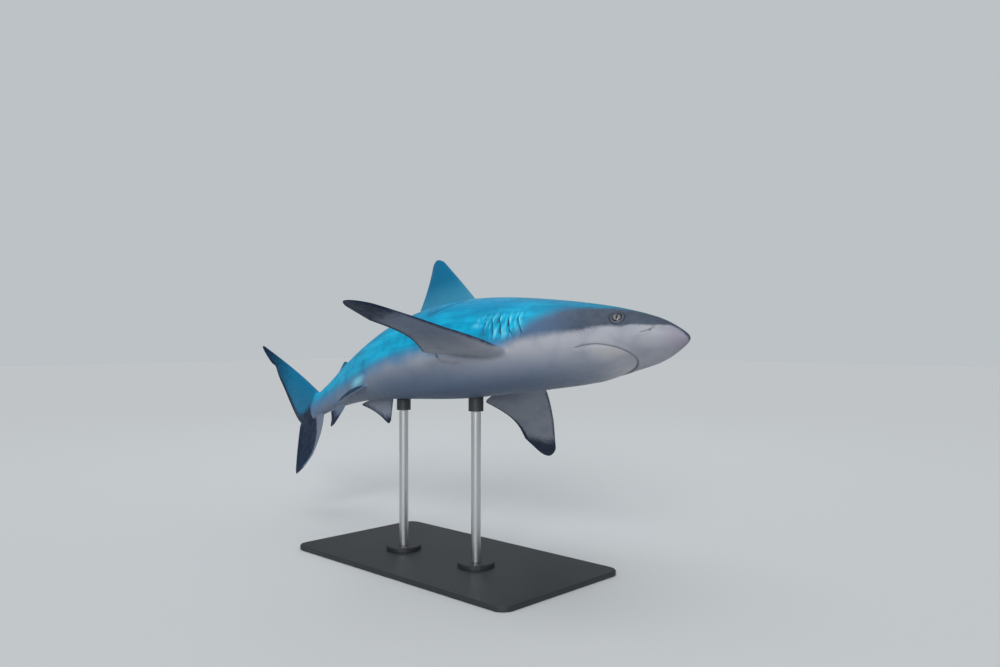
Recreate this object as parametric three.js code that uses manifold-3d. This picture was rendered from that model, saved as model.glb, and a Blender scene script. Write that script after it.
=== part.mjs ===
// A life-size display model of a grey reef shark in a banked turn, held by two rods on a base plate.
//
// Millimetres, +Z up. The origin is the centre of the base plate's underside, and the snout points
// along +X. The shark is shaped straight first: `back` runs from the snout to the tail, `side` to
// its right and `up` to its back. A curved spine carries that shape, and a group banks the whole.

import * as THREE from 'three';
import { mergeVertices } from 'three/addons/utils/BufferGeometryUtils.js';
import Module from 'manifold-3d';

const wasm = await Module();
wasm.setup();

const { degToRad, clamp, lerp } = THREE.MathUtils;

// ---------- driving sizes ----------

const gap = 0.3; // left between neighbouring pieces

// The body's girth: distance behind the snout, height and depth from the spine, half width, the
// level of the widest point, and how square the section is above and below it (2 is an ellipse).
const stations = [
  { back: 0, height: 21, depth: 20, half: 31.5, level: -3, crown: 2.0, belly: 2.0 },
  { back: 58, height: 40, depth: 34, half: 54, level: -8, crown: 2.0, belly: 2.3 },
  { back: 132, height: 61, depth: 55, half: 71, level: -10, crown: 2.1, belly: 2.5 },
  { back: 198, height: 76, depth: 78, half: 80, level: -12, crown: 2.1, belly: 2.5 },
  { back: 297, height: 92, depth: 96, half: 89, level: -10, crown: 2.1, belly: 2.3 },
  { back: 412, height: 105, depth: 109, half: 94, level: -7, crown: 2.1, belly: 2.2 },
  { back: 545, height: 113, depth: 118, half: 92, level: -3, crown: 2.0, belly: 2.2 },
  { back: 710, height: 101, depth: 107, half: 78.5, level: 0, crown: 2.0, belly: 2.1 },
  { back: 858, height: 79, depth: 84, half: 60, level: 0, crown: 2.0, belly: 2.0 },
  { back: 1006, height: 63, depth: 60, half: 40, level: 0, crown: 2.0, belly: 2.0 },
  { back: 1138, height: 46, depth: 41, half: 26, level: 0, crown: 2.0, belly: 2.0 },
  { back: 1246, height: 35, depth: 32, half: 19, level: 0, crown: 2.0, belly: 2.0 },
];
const bodyEnd = stations.at(-1).back; // where the tail stalk turns into the tail fin
const noseRound = { tall: 66, wide: 99 }; // length over which the snout closes, from above and the side

// The spine's sideways curve in degrees of turn per 100 mm, + to the shark's left, and its droop.
const turns = [
  { back: 297, degrees: 0 },
  { back: 495, degrees: 3.7 },
  { back: 693, degrees: 6.3 },
  { back: 908, degrees: 3.6 },
  { back: 1089, degrees: 0.8 },
  { back: 1221, degrees: -3.0 },
  { back: 1353, degrees: -5.7 },
  { back: 1650, degrees: -4.5 },
];
const droops = [
  { back: 297, degrees: 0 },
  { back: 742, degrees: -1.25 },
  { back: 1238, degrees: 0 },
];
// The body's twist in degrees about the spine, + lifts the right side.
const twists = [
  { back: 165, degrees: 6.9 },
  { back: 412, degrees: -2.0 },
  { back: 660, degrees: 0 },
  { back: 908, degrees: 0.2 },
  { back: 1287, degrees: -13.4 },
];

// The tail fin's upper lobe: control points of its upper and lower edges, as [back, up].
const upperLobe = {
  rows: 14,
  crest: [[1381, 132], [1620, 278]],
  under: [[1403, -92], [1416, 66], [1610, 255]],
  edge: 2, // half thickness at the tip
  taper: 1.3,
  notch: { at: 0.86, width: 0.035, depth: 12 },
};

// Fins: where the root starts, the span, how far the tip lies behind the root's start, the root's
// length, the free rear corner's length and its distance out, how bowed the front edge is (1 is
// straight), how far the rear edge dips in and the share of the edge that does so, the tip's chord,
// the share of the span that is rounded off, the thickness at the root, and the grid of faces.
const fins = {
  dorsalFirst: {
    back: 524, span: 168, sweep: 157, root: 159, corner: 42, cornerOut: 15, bow: 1.03,
    dip: 7, dipEnd: 1, tip: 26, round: 0.1, thick: 16, rows: 12, columns: 12, sunk: 14,
  },
  dorsalSecond: {
    back: 1032, span: 38, sweep: 53, root: 69, corner: 50, cornerOut: 8, bow: 1,
    dip: 8, dipEnd: 1, tip: 12, round: 0.15, thick: 8, rows: 7, columns: 10, sunk: 8,
  },
  anal: {
    back: 1028, span: 53, sweep: 78, root: 76, corner: 45, cornerOut: 9, bow: 1.4,
    dip: 8, dipEnd: 1, tip: 27, round: 0.12, thick: 8, rows: 8, columns: 10, sunk: 8,
  },
  tailLower: {
    back: 1208, span: 144, sweep: 170, root: 163, corner: 5, cornerOut: 6, bow: 2.5,
    dip: -3, dipEnd: 1, tip: 13, round: 0.1, thick: 13, rows: 12, columns: 10, sunk: 20,
  },
  pectoral: {
    back: 362, span: 298, sweep: 134, root: 103, corner: 80, cornerOut: 35, bow: 1.35,
    dip: 22, dipEnd: 0.64, tip: 44, round: 0.1, thick: 20, rows: 15, columns: 12, sunk: 12,
  },
  pelvic: {
    back: 816, span: 69, sweep: 38, root: 87, corner: 85, cornerOut: 12, bow: 1,
    dip: 18, dipEnd: 1, tip: 16, round: 0.15, thick: 10, rows: 8, columns: 10, sunk: 8,
  },
};
// Every fin's section: how much it thins to the tip, its half thickness as a share of `thick`, how
// much thinner its rear is than its front, and where across the chord the rounded tip lies.
const finSection = { thins: 0.8, half: 0.45, rearThins: 0.55, tipHeart: 0.6 };
const rootSunk = { middle: 2, tail: 4 }; // how far the roots on the midline start inside the body
const pectoralRoot = { side: 86, up: -58 };
const pectoralPose = {
  right: { droop: 2, pitch: 1.2, sweep: 0.1 },
  left: { droop: 10.7, pitch: 7.6, sweep: -2 },
}; // degrees
const pelvicRoot = { side: 38, up: -71, taperIn: 0.08, rise: 0.12 };
const pelvicDroop = { right: 52, left: 57 }; // degrees below level

const eye = { back: 133, side: 59.2, up: 7, radius: 14.5 };
const mouth = { front: 103, corner: 205, half: 68.5, rear: 216, palate: -30 };
const gillSlits = [
  { back: 340, up: 0, half: 23 },
  { back: 362, up: -1, half: 25 },
  { back: 383, up: 2, half: 26 },
  { back: 401, up: 3, half: 22 },
  { back: 416, up: 0, half: 17 },
];
const gillSlit = { width: 1.8, deep: 6, lean: 0.2 };

// Lengths of the body: each piece runs from its own station to the next one's.
const bodyCuts = [
  { name: 'head', from: -50 },
  { name: 'gill_region', from: 318 },
  { name: 'trunk_front', from: 470 },
  { name: 'trunk_rear', from: 742 },
  { name: 'tail_stalk', from: 1012 },
  { name: 'caudal_fin_upper', from: bodyEnd },
];

// How the shark hangs over the base: the snout's place and the turns of the whole, in degrees.
const swim = { x: 601, y: 84, z: 530, bank: -26, noseUp: 2.1, heading: 11.8 };

const plate = { length: 720, width: 380, thick: 12, corner: 30, bevel: 2 };
const rod = { radius: 11, backs: { front: 505, rear: 745 } };
const flange = { radius: 42, thick: 10, chamfer: 2 };
const sleeve = { radius: 17, below: 34, above: 60 };

// ---------- finishes ----------

const finishes = {
  skin: new THREE.MeshStandardMaterial({ color: '#7f8a91', roughness: 0.5, metalness: 0 }),
  fin: new THREE.MeshStandardMaterial({ color: '#66727b', roughness: 0.5, metalness: 0 }),
  eye: new THREE.MeshStandardMaterial({ color: '#b9b9a8', roughness: 0.1, metalness: 0 }),
  plate: new THREE.MeshStandardMaterial({ color: '#3a3d40', roughness: 0.6, metalness: 0.2 }),
  steel: new THREE.MeshStandardMaterial({ color: '#a4a6a8', roughness: 0.35, metalness: 1 }),
};

// ---------- solids ----------

// A closed geometry as a solid: equal corners are merged, and faces that closed up are dropped.
function solidOf(geometry) {
  const bare = new THREE.BufferGeometry();
  bare.setAttribute('position', geometry.getAttribute('position'));
  bare.setIndex(geometry.getIndex());
  const merged = mergeVertices(bare, 1e-3);
  const corners = merged.getIndex().array;
  const faces = [];
  for (let i = 0; i < corners.length; i += 3) {
    const [a, b, c] = corners.slice(i, i + 3);
    if (a !== b && b !== c && c !== a) faces.push(a, b, c);
  }
  return new wasm.Manifold(new wasm.Mesh({
    numProp: 3,
    vertProperties: new Float32Array(merged.getAttribute('position').array),
    triVerts: new Uint32Array(faces),
  }));
}

// The largest body of a solid, without the slivers that a cut can leave beside it.
function largest(solid) {
  const bodies = solid.decompose();
  return bodies.reduce((best, body) => (body.volume() > best.volume() ? body : best));
}

function meshOf(name, solid, finish) {
  const { vertProperties, triVerts } = largest(solid).getMesh();
  const geometry = new THREE.BufferGeometry();
  geometry.setAttribute('position', new THREE.BufferAttribute(vertProperties, 3));
  geometry.setIndex(new THREE.BufferAttribute(triVerts, 1));
  geometry.computeVertexNormals();
  const mesh = new THREE.Mesh(geometry, finish);
  mesh.name = name;
  return mesh;
}

// A closed skin through rows of points: place(along, around) gives a point for 0..1 each way, and
// each end is closed by a fan to its middle. `around` turns counter-clockwise seen from the start.
function loft(rows, columns, place) {
  const geometry = new THREE.SphereGeometry(1, columns, rows + 2);
  const { position, uv } = geometry.attributes;
  for (let i = 0; i < position.count; i++) {
    const row = Math.round((1 - uv.getY(i)) * (rows + 2));
    const along = clamp((row - 1) / rows, 0, 1);
    const onEnd = row === 0 || row === rows + 2;
    const point = onEnd
      ? place(along, 0).add(place(along, 0.5)).multiplyScalar(0.5)
      : place(along, uv.getX(i));
    position.setXYZ(i, point.x, point.y, point.z);
  }
  return geometry;
}

// ---------- the spine ----------

function degreesAt(list, back) {
  const next = list.findIndex((node) => node.back > back);
  if (next < 1) return next === 0 ? list[0].degrees : list.at(-1).degrees;
  const [a, b] = [list[next - 1], list[next]];
  return lerp(a.degrees, b.degrees, (back - a.back) / (b.back - a.back));
}

// The spine is walked in short steps, turning as it goes. The shark heads along +X in its own group.
const spineStep = 5;
const spine = [];
{
  const place = new THREE.Vector3();
  let turn = 0;
  let droop = 0;
  for (let back = 0; back <= turns.at(-1).back; back += spineStep) {
    const middle = back + spineStep / 2;
    const cosDroop = Math.cos(droop);
    const tailward = new THREE.Vector3(
      -Math.cos(turn) * cosDroop, Math.sin(turn) * cosDroop, Math.sin(droop),
    );
    spine.push({ place: place.clone(), tailward });
    place.addScaledVector(tailward, spineStep);
    turn += degToRad(degreesAt(turns, middle) * spineStep / 100);
    droop += degToRad(degreesAt(droops, middle) * spineStep / 100);
  }
}

// The spine's place and its three directions at a distance behind the snout.
function spineAt(back) {
  const steps = clamp(back / spineStep, 0, spine.length - 1.001);
  const near = spine[Math.floor(steps)];
  const far = spine[Math.floor(steps) + 1];
  const part = steps - Math.floor(steps);
  const place = near.place.clone().lerp(far.place, part);
  const tailward = near.tailward.clone().lerp(far.tailward, part).normalize();
  place.addScaledVector(tailward, Math.min(back, 0));
  const up = new THREE.Vector3(0, 0, 1).addScaledVector(tailward, -tailward.z).normalize();
  const right = new THREE.Vector3().crossVectors(up, tailward);
  const twist = degToRad(degreesAt(twists, back));
  right.applyAxisAngle(tailward, twist);
  up.applyAxisAngle(tailward, twist);
  return { place, tailward, right, up };
}

// Carries a geometry from the straight shark onto the spine.
function bent(geometry) {
  const position = geometry.getAttribute('position');
  for (let i = 0; i < position.count; i++) {
    const { place, right, up } = spineAt(position.getX(i));
    place.addScaledVector(right, position.getY(i)).addScaledVector(up, position.getZ(i));
    position.setXYZ(i, place.x, place.y, place.z);
  }
  return geometry;
}

// ---------- the body, with the tail fin's upper lobe ----------

const girth = new THREE.CubicInterpolant(
  stations.map((station) => station.back),
  stations.flatMap(({ height, depth, half, level, crown, belly }) =>
    [height, depth, half, level, crown, belly]),
  6,
);

// How far the snout has opened: a quarter circle from 0 at the tip to 1.
const opened = (back, length) => Math.sqrt(1 - (1 - clamp(back / length, 0, 1)) ** 2);
const power = (value, exponent) => Math.sign(value) * Math.abs(value) ** exponent;

function bodyPoint(back, angle, grow) {
  const [height, depth, half, level, crown, belly] = girth.evaluate(back);
  const tall = opened(back, noseRound.tall);
  const wide = opened(back, noseRound.wide);
  const square = Math.sin(angle) >= 0 ? crown : belly;
  const reach = (Math.sin(angle) >= 0 ? height - level : depth + level) * tall + grow;
  return new THREE.Vector3(
    back,
    (half * wide + grow) * power(Math.cos(angle), 2 / square),
    level * tall + reach * power(Math.sin(angle), 2 / square),
  );
}

const stalk = stations.at(-1);
const flat = ([back, up]) => new THREE.Vector2(back, up);
const crestCurve = new THREE.QuadraticBezierCurve(
  flat([bodyEnd, stalk.height]), ...upperLobe.crest.map(flat),
);
const underCurve = new THREE.CubicBezierCurve(
  flat([bodyEnd, -stalk.depth]), ...upperLobe.under.map(flat),
);

function lobePoint(share, angle, grow) {
  const crest = crestCurve.getPoint(share);
  const under = underCurve.getPoint(share);
  const { at, width, depth } = upperLobe.notch;
  under.y += depth * Math.exp(-(((share - at) / width) ** 2));
  const middle = crest.clone().add(under).multiplyScalar(0.5);
  const reach = crest.sub(under).multiplyScalar(0.5);
  reach.setLength(reach.length() + grow);
  const half = (stalk.half - upperLobe.edge) * (1 - share) ** upperLobe.taper + upperLobe.edge + grow;
  return new THREE.Vector3(
    middle.x + reach.x * Math.sin(angle),
    half * Math.cos(angle),
    middle.y + reach.y * Math.sin(angle),
  );
}

const bodyRows = 40;
const bodyColumns = 24;
const headCrowding = 1.35; // rows lie closer together towards the snout

function hull(grow = 0) {
  const rows = bodyRows + upperLobe.rows;
  return solidOf(bent(loft(rows, bodyColumns, (along, around) => {
    const row = along * rows;
    const angle = -2 * Math.PI * around;
    if (row > bodyRows) return lobePoint((row - bodyRows) / upperLobe.rows, angle, grow);
    return bodyPoint(bodyEnd * (row / bodyRows) ** headCrowding, angle, grow);
  })));
}

const wholeHull = hull();
const grownHull = hull(gap);

// The part of a solid between two stations, cut square to the spine.
function length(solid, from, to) {
  const front = spineAt(from);
  const rear = spineAt(to);
  return solid
    .trimByPlane(front.tailward.toArray(), front.place.dot(front.tailward) + gap / 2)
    .trimByPlane(rear.tailward.clone().negate().toArray(), gap / 2 - rear.place.dot(rear.tailward));
}

// ---------- fins ----------

// The front and rear edge of a fin at a share of its span.
function finChord(fin, share) {
  const { span, sweep, root, corner, cornerOut, bow, dip, dipEnd, tip, round } = fin;
  const front = sweep * share ** bow;
  const out = share * span;
  const past = clamp((out - cornerOut) / (span - cornerOut), 0, 1);
  const inner = root + corner * Math.sin(Math.PI / 2 * clamp(out / cornerOut, 0, 1));
  const outer = lerp(root + corner, sweep + tip, past)
    - dip * Math.sin(Math.PI * Math.min(past / dipEnd, 1));
  const rear = out < cornerOut ? inner : outer;
  const heart = lerp(front, rear, finSection.tipHeart);
  const open = Math.sqrt(1 - clamp((share - 1 + round) / round, 0, 1) ** 2);
  return { front: lerp(heart, front, open), rear: lerp(heart, rear, open) };
}

// A fin on its own axes: x along the root, y out to the tip and z through its thickness.
function finBlank(fin) {
  const sunk = fin.sunk / fin.span;
  return loft(fin.rows, fin.columns, (along, around) => {
    const share = lerp(-sunk, 1, Math.sin(along * Math.PI / 2));
    const { front, rear } = finChord(fin, Math.max(share, 0));
    const angle = 2 * Math.PI * around;
    const across = Math.cos(angle); // -1 on the front edge, 1 on the rear edge
    const thick = fin.thick * (1 - finSection.thins * Math.max(share, 0));
    return new THREE.Vector3(
      lerp(front, rear, (1 + across) / 2),
      share * fin.span,
      thick * finSection.half * Math.sin(angle) * (1 - finSection.rearThins * across),
    );
  });
}

// Sets a fin on the straight shark: `start` is the root's front end, `along` runs back and `out`
// to the tip. What lies inside the body is cut away.
function finSolid(fin, start, along, out) {
  const x = along.clone().normalize();
  const y = out.clone().addScaledVector(x, -out.dot(x)).normalize();
  const z = new THREE.Vector3().crossVectors(x, y);
  const matrix = new THREE.Matrix4().makeBasis(x, y, z).setPosition(start);
  return solidOf(bent(finBlank(fin).applyMatrix4(matrix))).subtract(grownHull);
}

function middleFin(name, fin, sense) {
  const ends = [fin.back, Math.min(fin.back + fin.root, bodyEnd)];
  const [front, rear] = ends.map((back) => bodyPoint(back, sense * Math.PI / 2, 0));
  const start = front.clone().setZ(front.z - sense * rootSunk.middle);
  return meshOf(name, finSolid(fin, start, rear.sub(front), new THREE.Vector3(0, 0, sense)), finishes.fin);
}

// The lower lobe hangs from the tail's axis, so its root runs level.
function lowerLobe() {
  const fin = fins.tailLower;
  const start = bodyPoint(fin.back, -Math.PI / 2, 0);
  start.z += rootSunk.tail;
  const level = new THREE.Vector3(1, 0, 0);
  return meshOf('caudal_fin_lower', finSolid(fin, start, level, new THREE.Vector3(0, 0, -1)), finishes.fin);
}

function pectoral(name, sense, pose) {
  const [droop, pitch, sweep] = [pose.droop, pose.pitch, pose.sweep].map(degToRad);
  const start = new THREE.Vector3(fins.pectoral.back, sense * pectoralRoot.side, pectoralRoot.up);
  const along = new THREE.Vector3(Math.cos(pitch), 0, -Math.sin(pitch));
  const out = new THREE.Vector3(
    Math.sin(sweep), sense * Math.cos(droop) * Math.cos(sweep), -Math.sin(droop) * Math.cos(sweep),
  );
  return meshOf(name, finSolid(fins.pectoral, start, along, out), finishes.fin);
}

function pelvic(name, sense, droop) {
  const start = new THREE.Vector3(fins.pelvic.back, sense * pelvicRoot.side, pelvicRoot.up);
  const along = new THREE.Vector3(1, -sense * pelvicRoot.taperIn, pelvicRoot.rise);
  const angle = degToRad(droop);
  const out = new THREE.Vector3(0, sense * Math.cos(angle), -Math.sin(angle));
  return meshOf(name, finSolid(fins.pelvic, start, along, out), finishes.fin);
}

// ---------- eyes, jaw and gill slits ----------

function eyeball(sense, grow = 0) {
  const ball = new THREE.SphereGeometry(eye.radius + grow, 14, 10);
  return solidOf(bent(ball.translate(eye.back, sense * eye.side, eye.up)));
}

// The lower jaw's block: a crescent in plan from one corner of the mouth to the other.
function jawBlock(grow = 0) {
  const outline = new THREE.Shape();
  outline.moveTo(mouth.rear + grow, -mouth.half - grow);
  outline.lineTo(mouth.rear + grow, mouth.half + grow);
  outline.lineTo(mouth.corner, mouth.half + grow);
  outline.absellipse(
    mouth.corner, 0, mouth.corner - mouth.front + grow, mouth.half + grow,
    Math.PI / 2, 3 * Math.PI / 2, false,
  );
  const depth = 120;
  const block = new THREE.ExtrudeGeometry(outline, { depth, bevelEnabled: false, curveSegments: 10 });
  return solidOf(bent(block.translate(0, 0, mouth.palate + grow - depth)));
}

function slitBlade({ back, up, half }, sense) {
  const blade = new THREE.SphereGeometry(1, 6, 6).scale(gillSlit.width / 2, gillSlit.deep, half);
  const side = bodyPoint(back, 0, 0).y;
  blade.applyMatrix4(new THREE.Matrix4().makeShear(0, 0, 0, 0, gillSlit.lean, 0));
  return solidOf(bent(blade.translate(back, sense * side, up)));
}

// ---------- the shark ----------

const fish = new THREE.Group();
fish.position.set(swim.x, swim.y, swim.z);
fish.rotation.set(degToRad(swim.bank), degToRad(-swim.noseUp), degToRad(swim.heading), 'ZYX');
fish.updateMatrixWorld();

const lengths = Object.fromEntries(bodyCuts.map(({ name, from }, i) => {
  const to = bodyCuts[i + 1]?.from ?? turns.at(-1).back;
  return [name, length(wholeHull, from, to)];
}));

const jaw = lengths.head.intersect(jawBlock());
lengths.head = lengths.head.subtract(jawBlock(gap));
for (const sense of [1, -1]) {
  lengths.head = lengths.head.subtract(eyeball(sense, gap));
  for (const slit of gillSlits) {
    lengths.gill_region = lengths.gill_region.subtract(slitBlade(slit, sense));
  }
}

for (const [name, solid] of Object.entries(lengths)) fish.add(meshOf(name, solid, finishes.skin));
fish.add(
  meshOf('lower_jaw', jaw, finishes.skin),
  meshOf('eye_right', eyeball(1), finishes.eye),
  meshOf('eye_left', eyeball(-1), finishes.eye),
  middleFin('dorsal_fin_first', fins.dorsalFirst, 1),
  middleFin('dorsal_fin_second', fins.dorsalSecond, 1),
  middleFin('anal_fin', fins.anal, -1),
  lowerLobe(),
  pectoral('pectoral_fin_right', 1, pectoralPose.right),
  pectoral('pectoral_fin_left', -1, pectoralPose.left),
  pelvic('pelvic_fin_right', 1, pelvicDroop.right),
  pelvic('pelvic_fin_left', -1, pelvicDroop.left),
);

// ---------- the stand ----------

function basePlate() {
  const { length: long, width, thick, corner, bevel } = plate;
  const [x, y] = [long / 2, width / 2];
  const outline = new THREE.Shape();
  outline.absarc(x - corner, y - corner, corner, 0, Math.PI / 2);
  outline.absarc(corner - x, y - corner, corner, Math.PI / 2, Math.PI);
  outline.absarc(corner - x, corner - y, corner, Math.PI, 3 * Math.PI / 2);
  outline.absarc(x - corner, corner - y, corner, 3 * Math.PI / 2, 2 * Math.PI);
  const geometry = new THREE.ExtrudeGeometry(outline, {
    depth: thick - 2 * bevel, bevelThickness: bevel, bevelSize: bevel, bevelOffset: -bevel,
    bevelSegments: 1, curveSegments: 4,
  });
  return meshOf('stand_base', solidOf(geometry.translate(0, 0, bevel)), finishes.plate);
}

// A ring around a rod, turned from its half section.
function ring(radius, height, chamfer) {
  const inside = rod.radius + gap;
  const half = [
    [inside, 0], [radius, 0], [radius, height - chamfer], [radius - chamfer, height],
    [inside, height], [inside, 0],
  ];
  const points = half.map(([x, y]) => new THREE.Vector2(x, y));
  return new THREE.LatheGeometry(points, 24).rotateX(Math.PI / 2);
}

// The lower of the bodies that a cut by the shark leaves of an upright piece.
function belowShark(solid) {
  const belly = grownHull.transform(fish.matrixWorld.elements);
  const bodies = solid.subtract(belly).decompose();
  return bodies.reduce((low, body) =>
    (body.boundingBox().min[2] < low.boundingBox().min[2] ? body : low));
}

function support(end) {
  const { place } = spineAt(rod.backs[end]);
  place.applyMatrix4(fish.matrixWorld);
  const foot = plate.thick + gap;
  const tall = place.z - foot;
  const shaft = new THREE.CylinderGeometry(rod.radius, rod.radius, tall, 24).rotateX(Math.PI / 2);
  const shaftSolid = belowShark(solidOf(shaft.translate(place.x, place.y, foot + tall / 2)));
  const bellyLevel = shaftSolid.boundingBox().max[2];
  const foots = ring(flange.radius, flange.thick, flange.chamfer).translate(place.x, place.y, foot);
  const collar = ring(sleeve.radius, sleeve.below + sleeve.above, 0)
    .translate(place.x, place.y, bellyLevel - sleeve.below);
  return [
    meshOf(`stand_rod_${end}`, shaftSolid, finishes.steel),
    meshOf(`stand_flange_${end}`, solidOf(foots), finishes.plate),
    meshOf(`stand_sleeve_${end}`, belowShark(solidOf(collar)), finishes.plate),
  ];
}

const model = new THREE.Group();
model.add(fish, basePlate(), ...support('front'), ...support('rear'));

export default model;
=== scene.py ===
import math
from functools import partial

import bmesh
import bpy
from mathutils import Matrix, Vector, noise
from mathutils.kdtree import KDTree


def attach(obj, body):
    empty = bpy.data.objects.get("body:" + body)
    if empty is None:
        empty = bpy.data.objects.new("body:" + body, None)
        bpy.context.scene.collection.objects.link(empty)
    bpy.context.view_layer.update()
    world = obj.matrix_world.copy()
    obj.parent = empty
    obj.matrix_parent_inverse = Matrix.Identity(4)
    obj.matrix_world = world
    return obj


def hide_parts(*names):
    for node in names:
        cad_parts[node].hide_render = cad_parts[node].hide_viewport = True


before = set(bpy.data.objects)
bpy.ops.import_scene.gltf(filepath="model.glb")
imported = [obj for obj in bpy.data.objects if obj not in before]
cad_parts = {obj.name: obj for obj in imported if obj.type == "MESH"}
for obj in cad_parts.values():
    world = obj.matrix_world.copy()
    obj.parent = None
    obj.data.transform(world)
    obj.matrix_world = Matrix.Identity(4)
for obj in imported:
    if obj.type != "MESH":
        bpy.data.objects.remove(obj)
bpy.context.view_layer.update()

mm = 0.001


# ---- numbers ----

def lerp(a, b, t):
    return a + (b - a) * t


def clamp(x, low=0.0, high=1.0):
    return max(low, min(high, x))


def smooth(x, start, end):
    t = clamp((x - start) / (end - start))
    return t * t * (3 - 2 * t)


def power(x, exponent):
    return math.copysign(abs(x) ** exponent, x)


def bump(x, width):
    return math.exp(-(x / width) ** 2)


# straight lines between (x, value) nodes, level beyond them
def between(nodes, x):
    if x <= nodes[0][0]:
        return nodes[0][1]
    for (x0, y0), (x1, y1) in zip(nodes, nodes[1:]):
        if x <= x1:
            return lerp(y0, y1, (x - x0) / (x1 - x0))
    return nodes[-1][1]


def nearest(values, value):
    return min(range(len(values)), key=lambda i: abs(values[i] - value))


# ---- the straight body ----

body = {
    # back, height, depth, half width, level of the widest point, squareness above and below
    "stations": [
        (0, 21, 20, 31.5, -3, 2.0, 2.0),
        (58, 40, 34, 54, -8, 2.0, 2.3),
        (132, 61, 55, 71, -10, 2.1, 2.5),
        (198, 76, 78, 80, -12, 2.1, 2.5),
        (297, 92, 96, 89, -10, 2.1, 2.3),
        (412, 105, 109, 94, -7, 2.1, 2.2),
        (545, 113, 118, 92, -3, 2.0, 2.2),
        (710, 101, 107, 78.5, 0, 2.0, 2.1),
        (858, 79, 84, 60, 0, 2.0, 2.0),
        (1006, 63, 60, 40, 0, 2.0, 2.0),
        (1138, 46, 41, 26, 0, 2.0, 2.0),
        (1246, 35, 32, 19, 0, 2.0, 2.0),
    ],
    # how far back the snout has opened to its full height and to its full width
    "noseTall": 66, "noseWide": 99,
    # the mesh: columns round it, rows over the snout, and how far apart rows are behind that
    "columns": 96, "noseRows": 30, "noseEnd": 60, "headRow": 3.2, "headEnd": 430, "headFade": 60,
    "trunkRow": 5.5,
}
bodyEnd = body["stations"][-1][0]


# a Hermite curve whose slope at a station is the mean of the slopes beside it
def girth(back):
    rows = body["stations"]
    x = clamp(back, rows[0][0], rows[-1][0])
    i = 0
    while i < len(rows) - 2 and x > rows[i + 1][0]:
        i += 1
    a, b = rows[i], rows[i + 1]
    before = rows[i - 1] if i else a
    after = rows[i + 2] if i + 2 < len(rows) else b
    step = b[0] - a[0]
    t = (x - a[0]) / step
    values = []
    for k in range(1, len(a)):
        secant = (b[k] - a[k]) / step
        slopeA = (secant + (a[k] - before[k]) / (a[0] - before[0])) / 2 if i else secant
        slopeB = (secant + (after[k] - b[k]) / (after[0] - b[0])) / 2 if after is not b else secant
        values.append(
            (1 + 2 * t) * (1 - t) ** 2 * a[k] + t * (1 - t) ** 2 * step * slopeA
            + t * t * (3 - 2 * t) * b[k] - t * t * (1 - t) * step * slopeB
        )
    return values


def opened(back, length):
    return math.sqrt(1 - (1 - clamp(back / length)) ** 2)


# half width, level and the reach and squareness on the side that `above` asks for
def section(back, above):
    height, depth, half, level, crown, belly = girth(back)
    tall = opened(back, body["noseTall"])
    wide = opened(back, body["noseWide"])
    reach = (height - level if above else depth + level) * tall
    return half * wide, level * tall, reach, crown if above else belly


def bodyPoint(back, angle):
    half, level, reach, square = section(back, math.sin(angle) >= 0)
    return Vector((
        back,
        half * power(math.cos(angle), 2 / square),
        level + reach * power(math.sin(angle), 2 / square),
    ))


def sectionAt(point):
    level = section(point.x, True)[1]
    return section(point.x, point.z >= level)


# the angle whose surface point lies beyond `point`, seen from the middle of its section
def angleOf(point):
    half, level, reach, square = sectionAt(point)
    return math.atan2(
        power((point.z - level) / reach, square / 2), power(point.y / half, square / 2)
    )


def settled(point):
    return bodyPoint(point.x, angleOf(point))


def insideBody(point):
    half, level, reach, square = sectionAt(point)
    return abs(point.y / half) ** square + abs((point.z - level) / reach) ** square < 1


# ---- the tail fin's upper lobe, which carries on from the body ----

upperLobe = {
    # Bezier points of both edges, (back, up); notch and round tip in shares of the lobe's length
    "crest": [(1381, 132), (1620, 278)],
    "under": [(1403, -92), (1416, 66), (1610, 255)],
    "notchAt": 0.86, "notchWidth": 0.035, "notchDepth": 12, "tipRound": 0.035,
    "edge": 2, "taper": 1.3, "webThin": 0.38, "rows": 84,
}


def bezier(points, t):
    points = [Vector(p) for p in points]
    while len(points) > 1:
        points = [a.lerp(b, t) for a, b in zip(points, points[1:])]
    return points[0]


# the lobe's upper and lower edge at a share of its length
def lobeEdges(share):
    height, depth, *_ = girth(bodyEnd)
    crest = bezier([(bodyEnd, height), *upperLobe["crest"]], share)
    under = bezier([(bodyEnd, -depth), *upperLobe["under"]], share)
    under.y += upperLobe["notchDepth"] * bump(share - upperLobe["notchAt"], upperLobe["notchWidth"])
    return crest, under


def lobePoint(share, angle):
    crest, under = lobeEdges(share)
    closing = math.sqrt(max(0, 1 - clamp((share - 1) / upperLobe["tipRound"] + 1) ** 2))
    middle = (crest + under) / 2
    reach = (crest - under) / 2 * lerp(1, closing, smooth(share, 0.9, 1))
    half = (girth(bodyEnd)[2] - upperLobe["edge"]) * (1 - share) ** upperLobe["taper"]
    web = 1 - upperLobe["webThin"] * (1 - math.sin(angle)) * smooth(share, 0.3, 0.6)
    half = (half + upperLobe["edge"]) * web * closing
    return Vector((
        middle.x + reach.x * math.sin(angle),
        half * math.cos(angle),
        middle.y + reach.y * math.sin(angle),
    ))


# ---- the skin's rings ----

# the ring that an open ring grows when its edges are extruded, in the same order
def grown(bm, ring):
    edges = [bm.edges.get(pair) for pair in zip(ring, ring[1:] + ring[:1])]
    made = bmesh.ops.extrude_edge_only(bm, edges=edges)["geom"]
    fresh = {item for item in made if isinstance(item, bmesh.types.BMVert)}
    return [next(e.other_vert(v) for e in v.link_edges if e.other_vert(v) in fresh) for v in ring]


def closeRing(bm, ring):
    edges = [bm.edges.get(pair) for pair in zip(ring, ring[1:] + ring[:1])]
    cap = bmesh.ops.edgeloop_fill(bm, edges=edges)["faces"]
    bmesh.ops.poke(bm, faces=cap)


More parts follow.
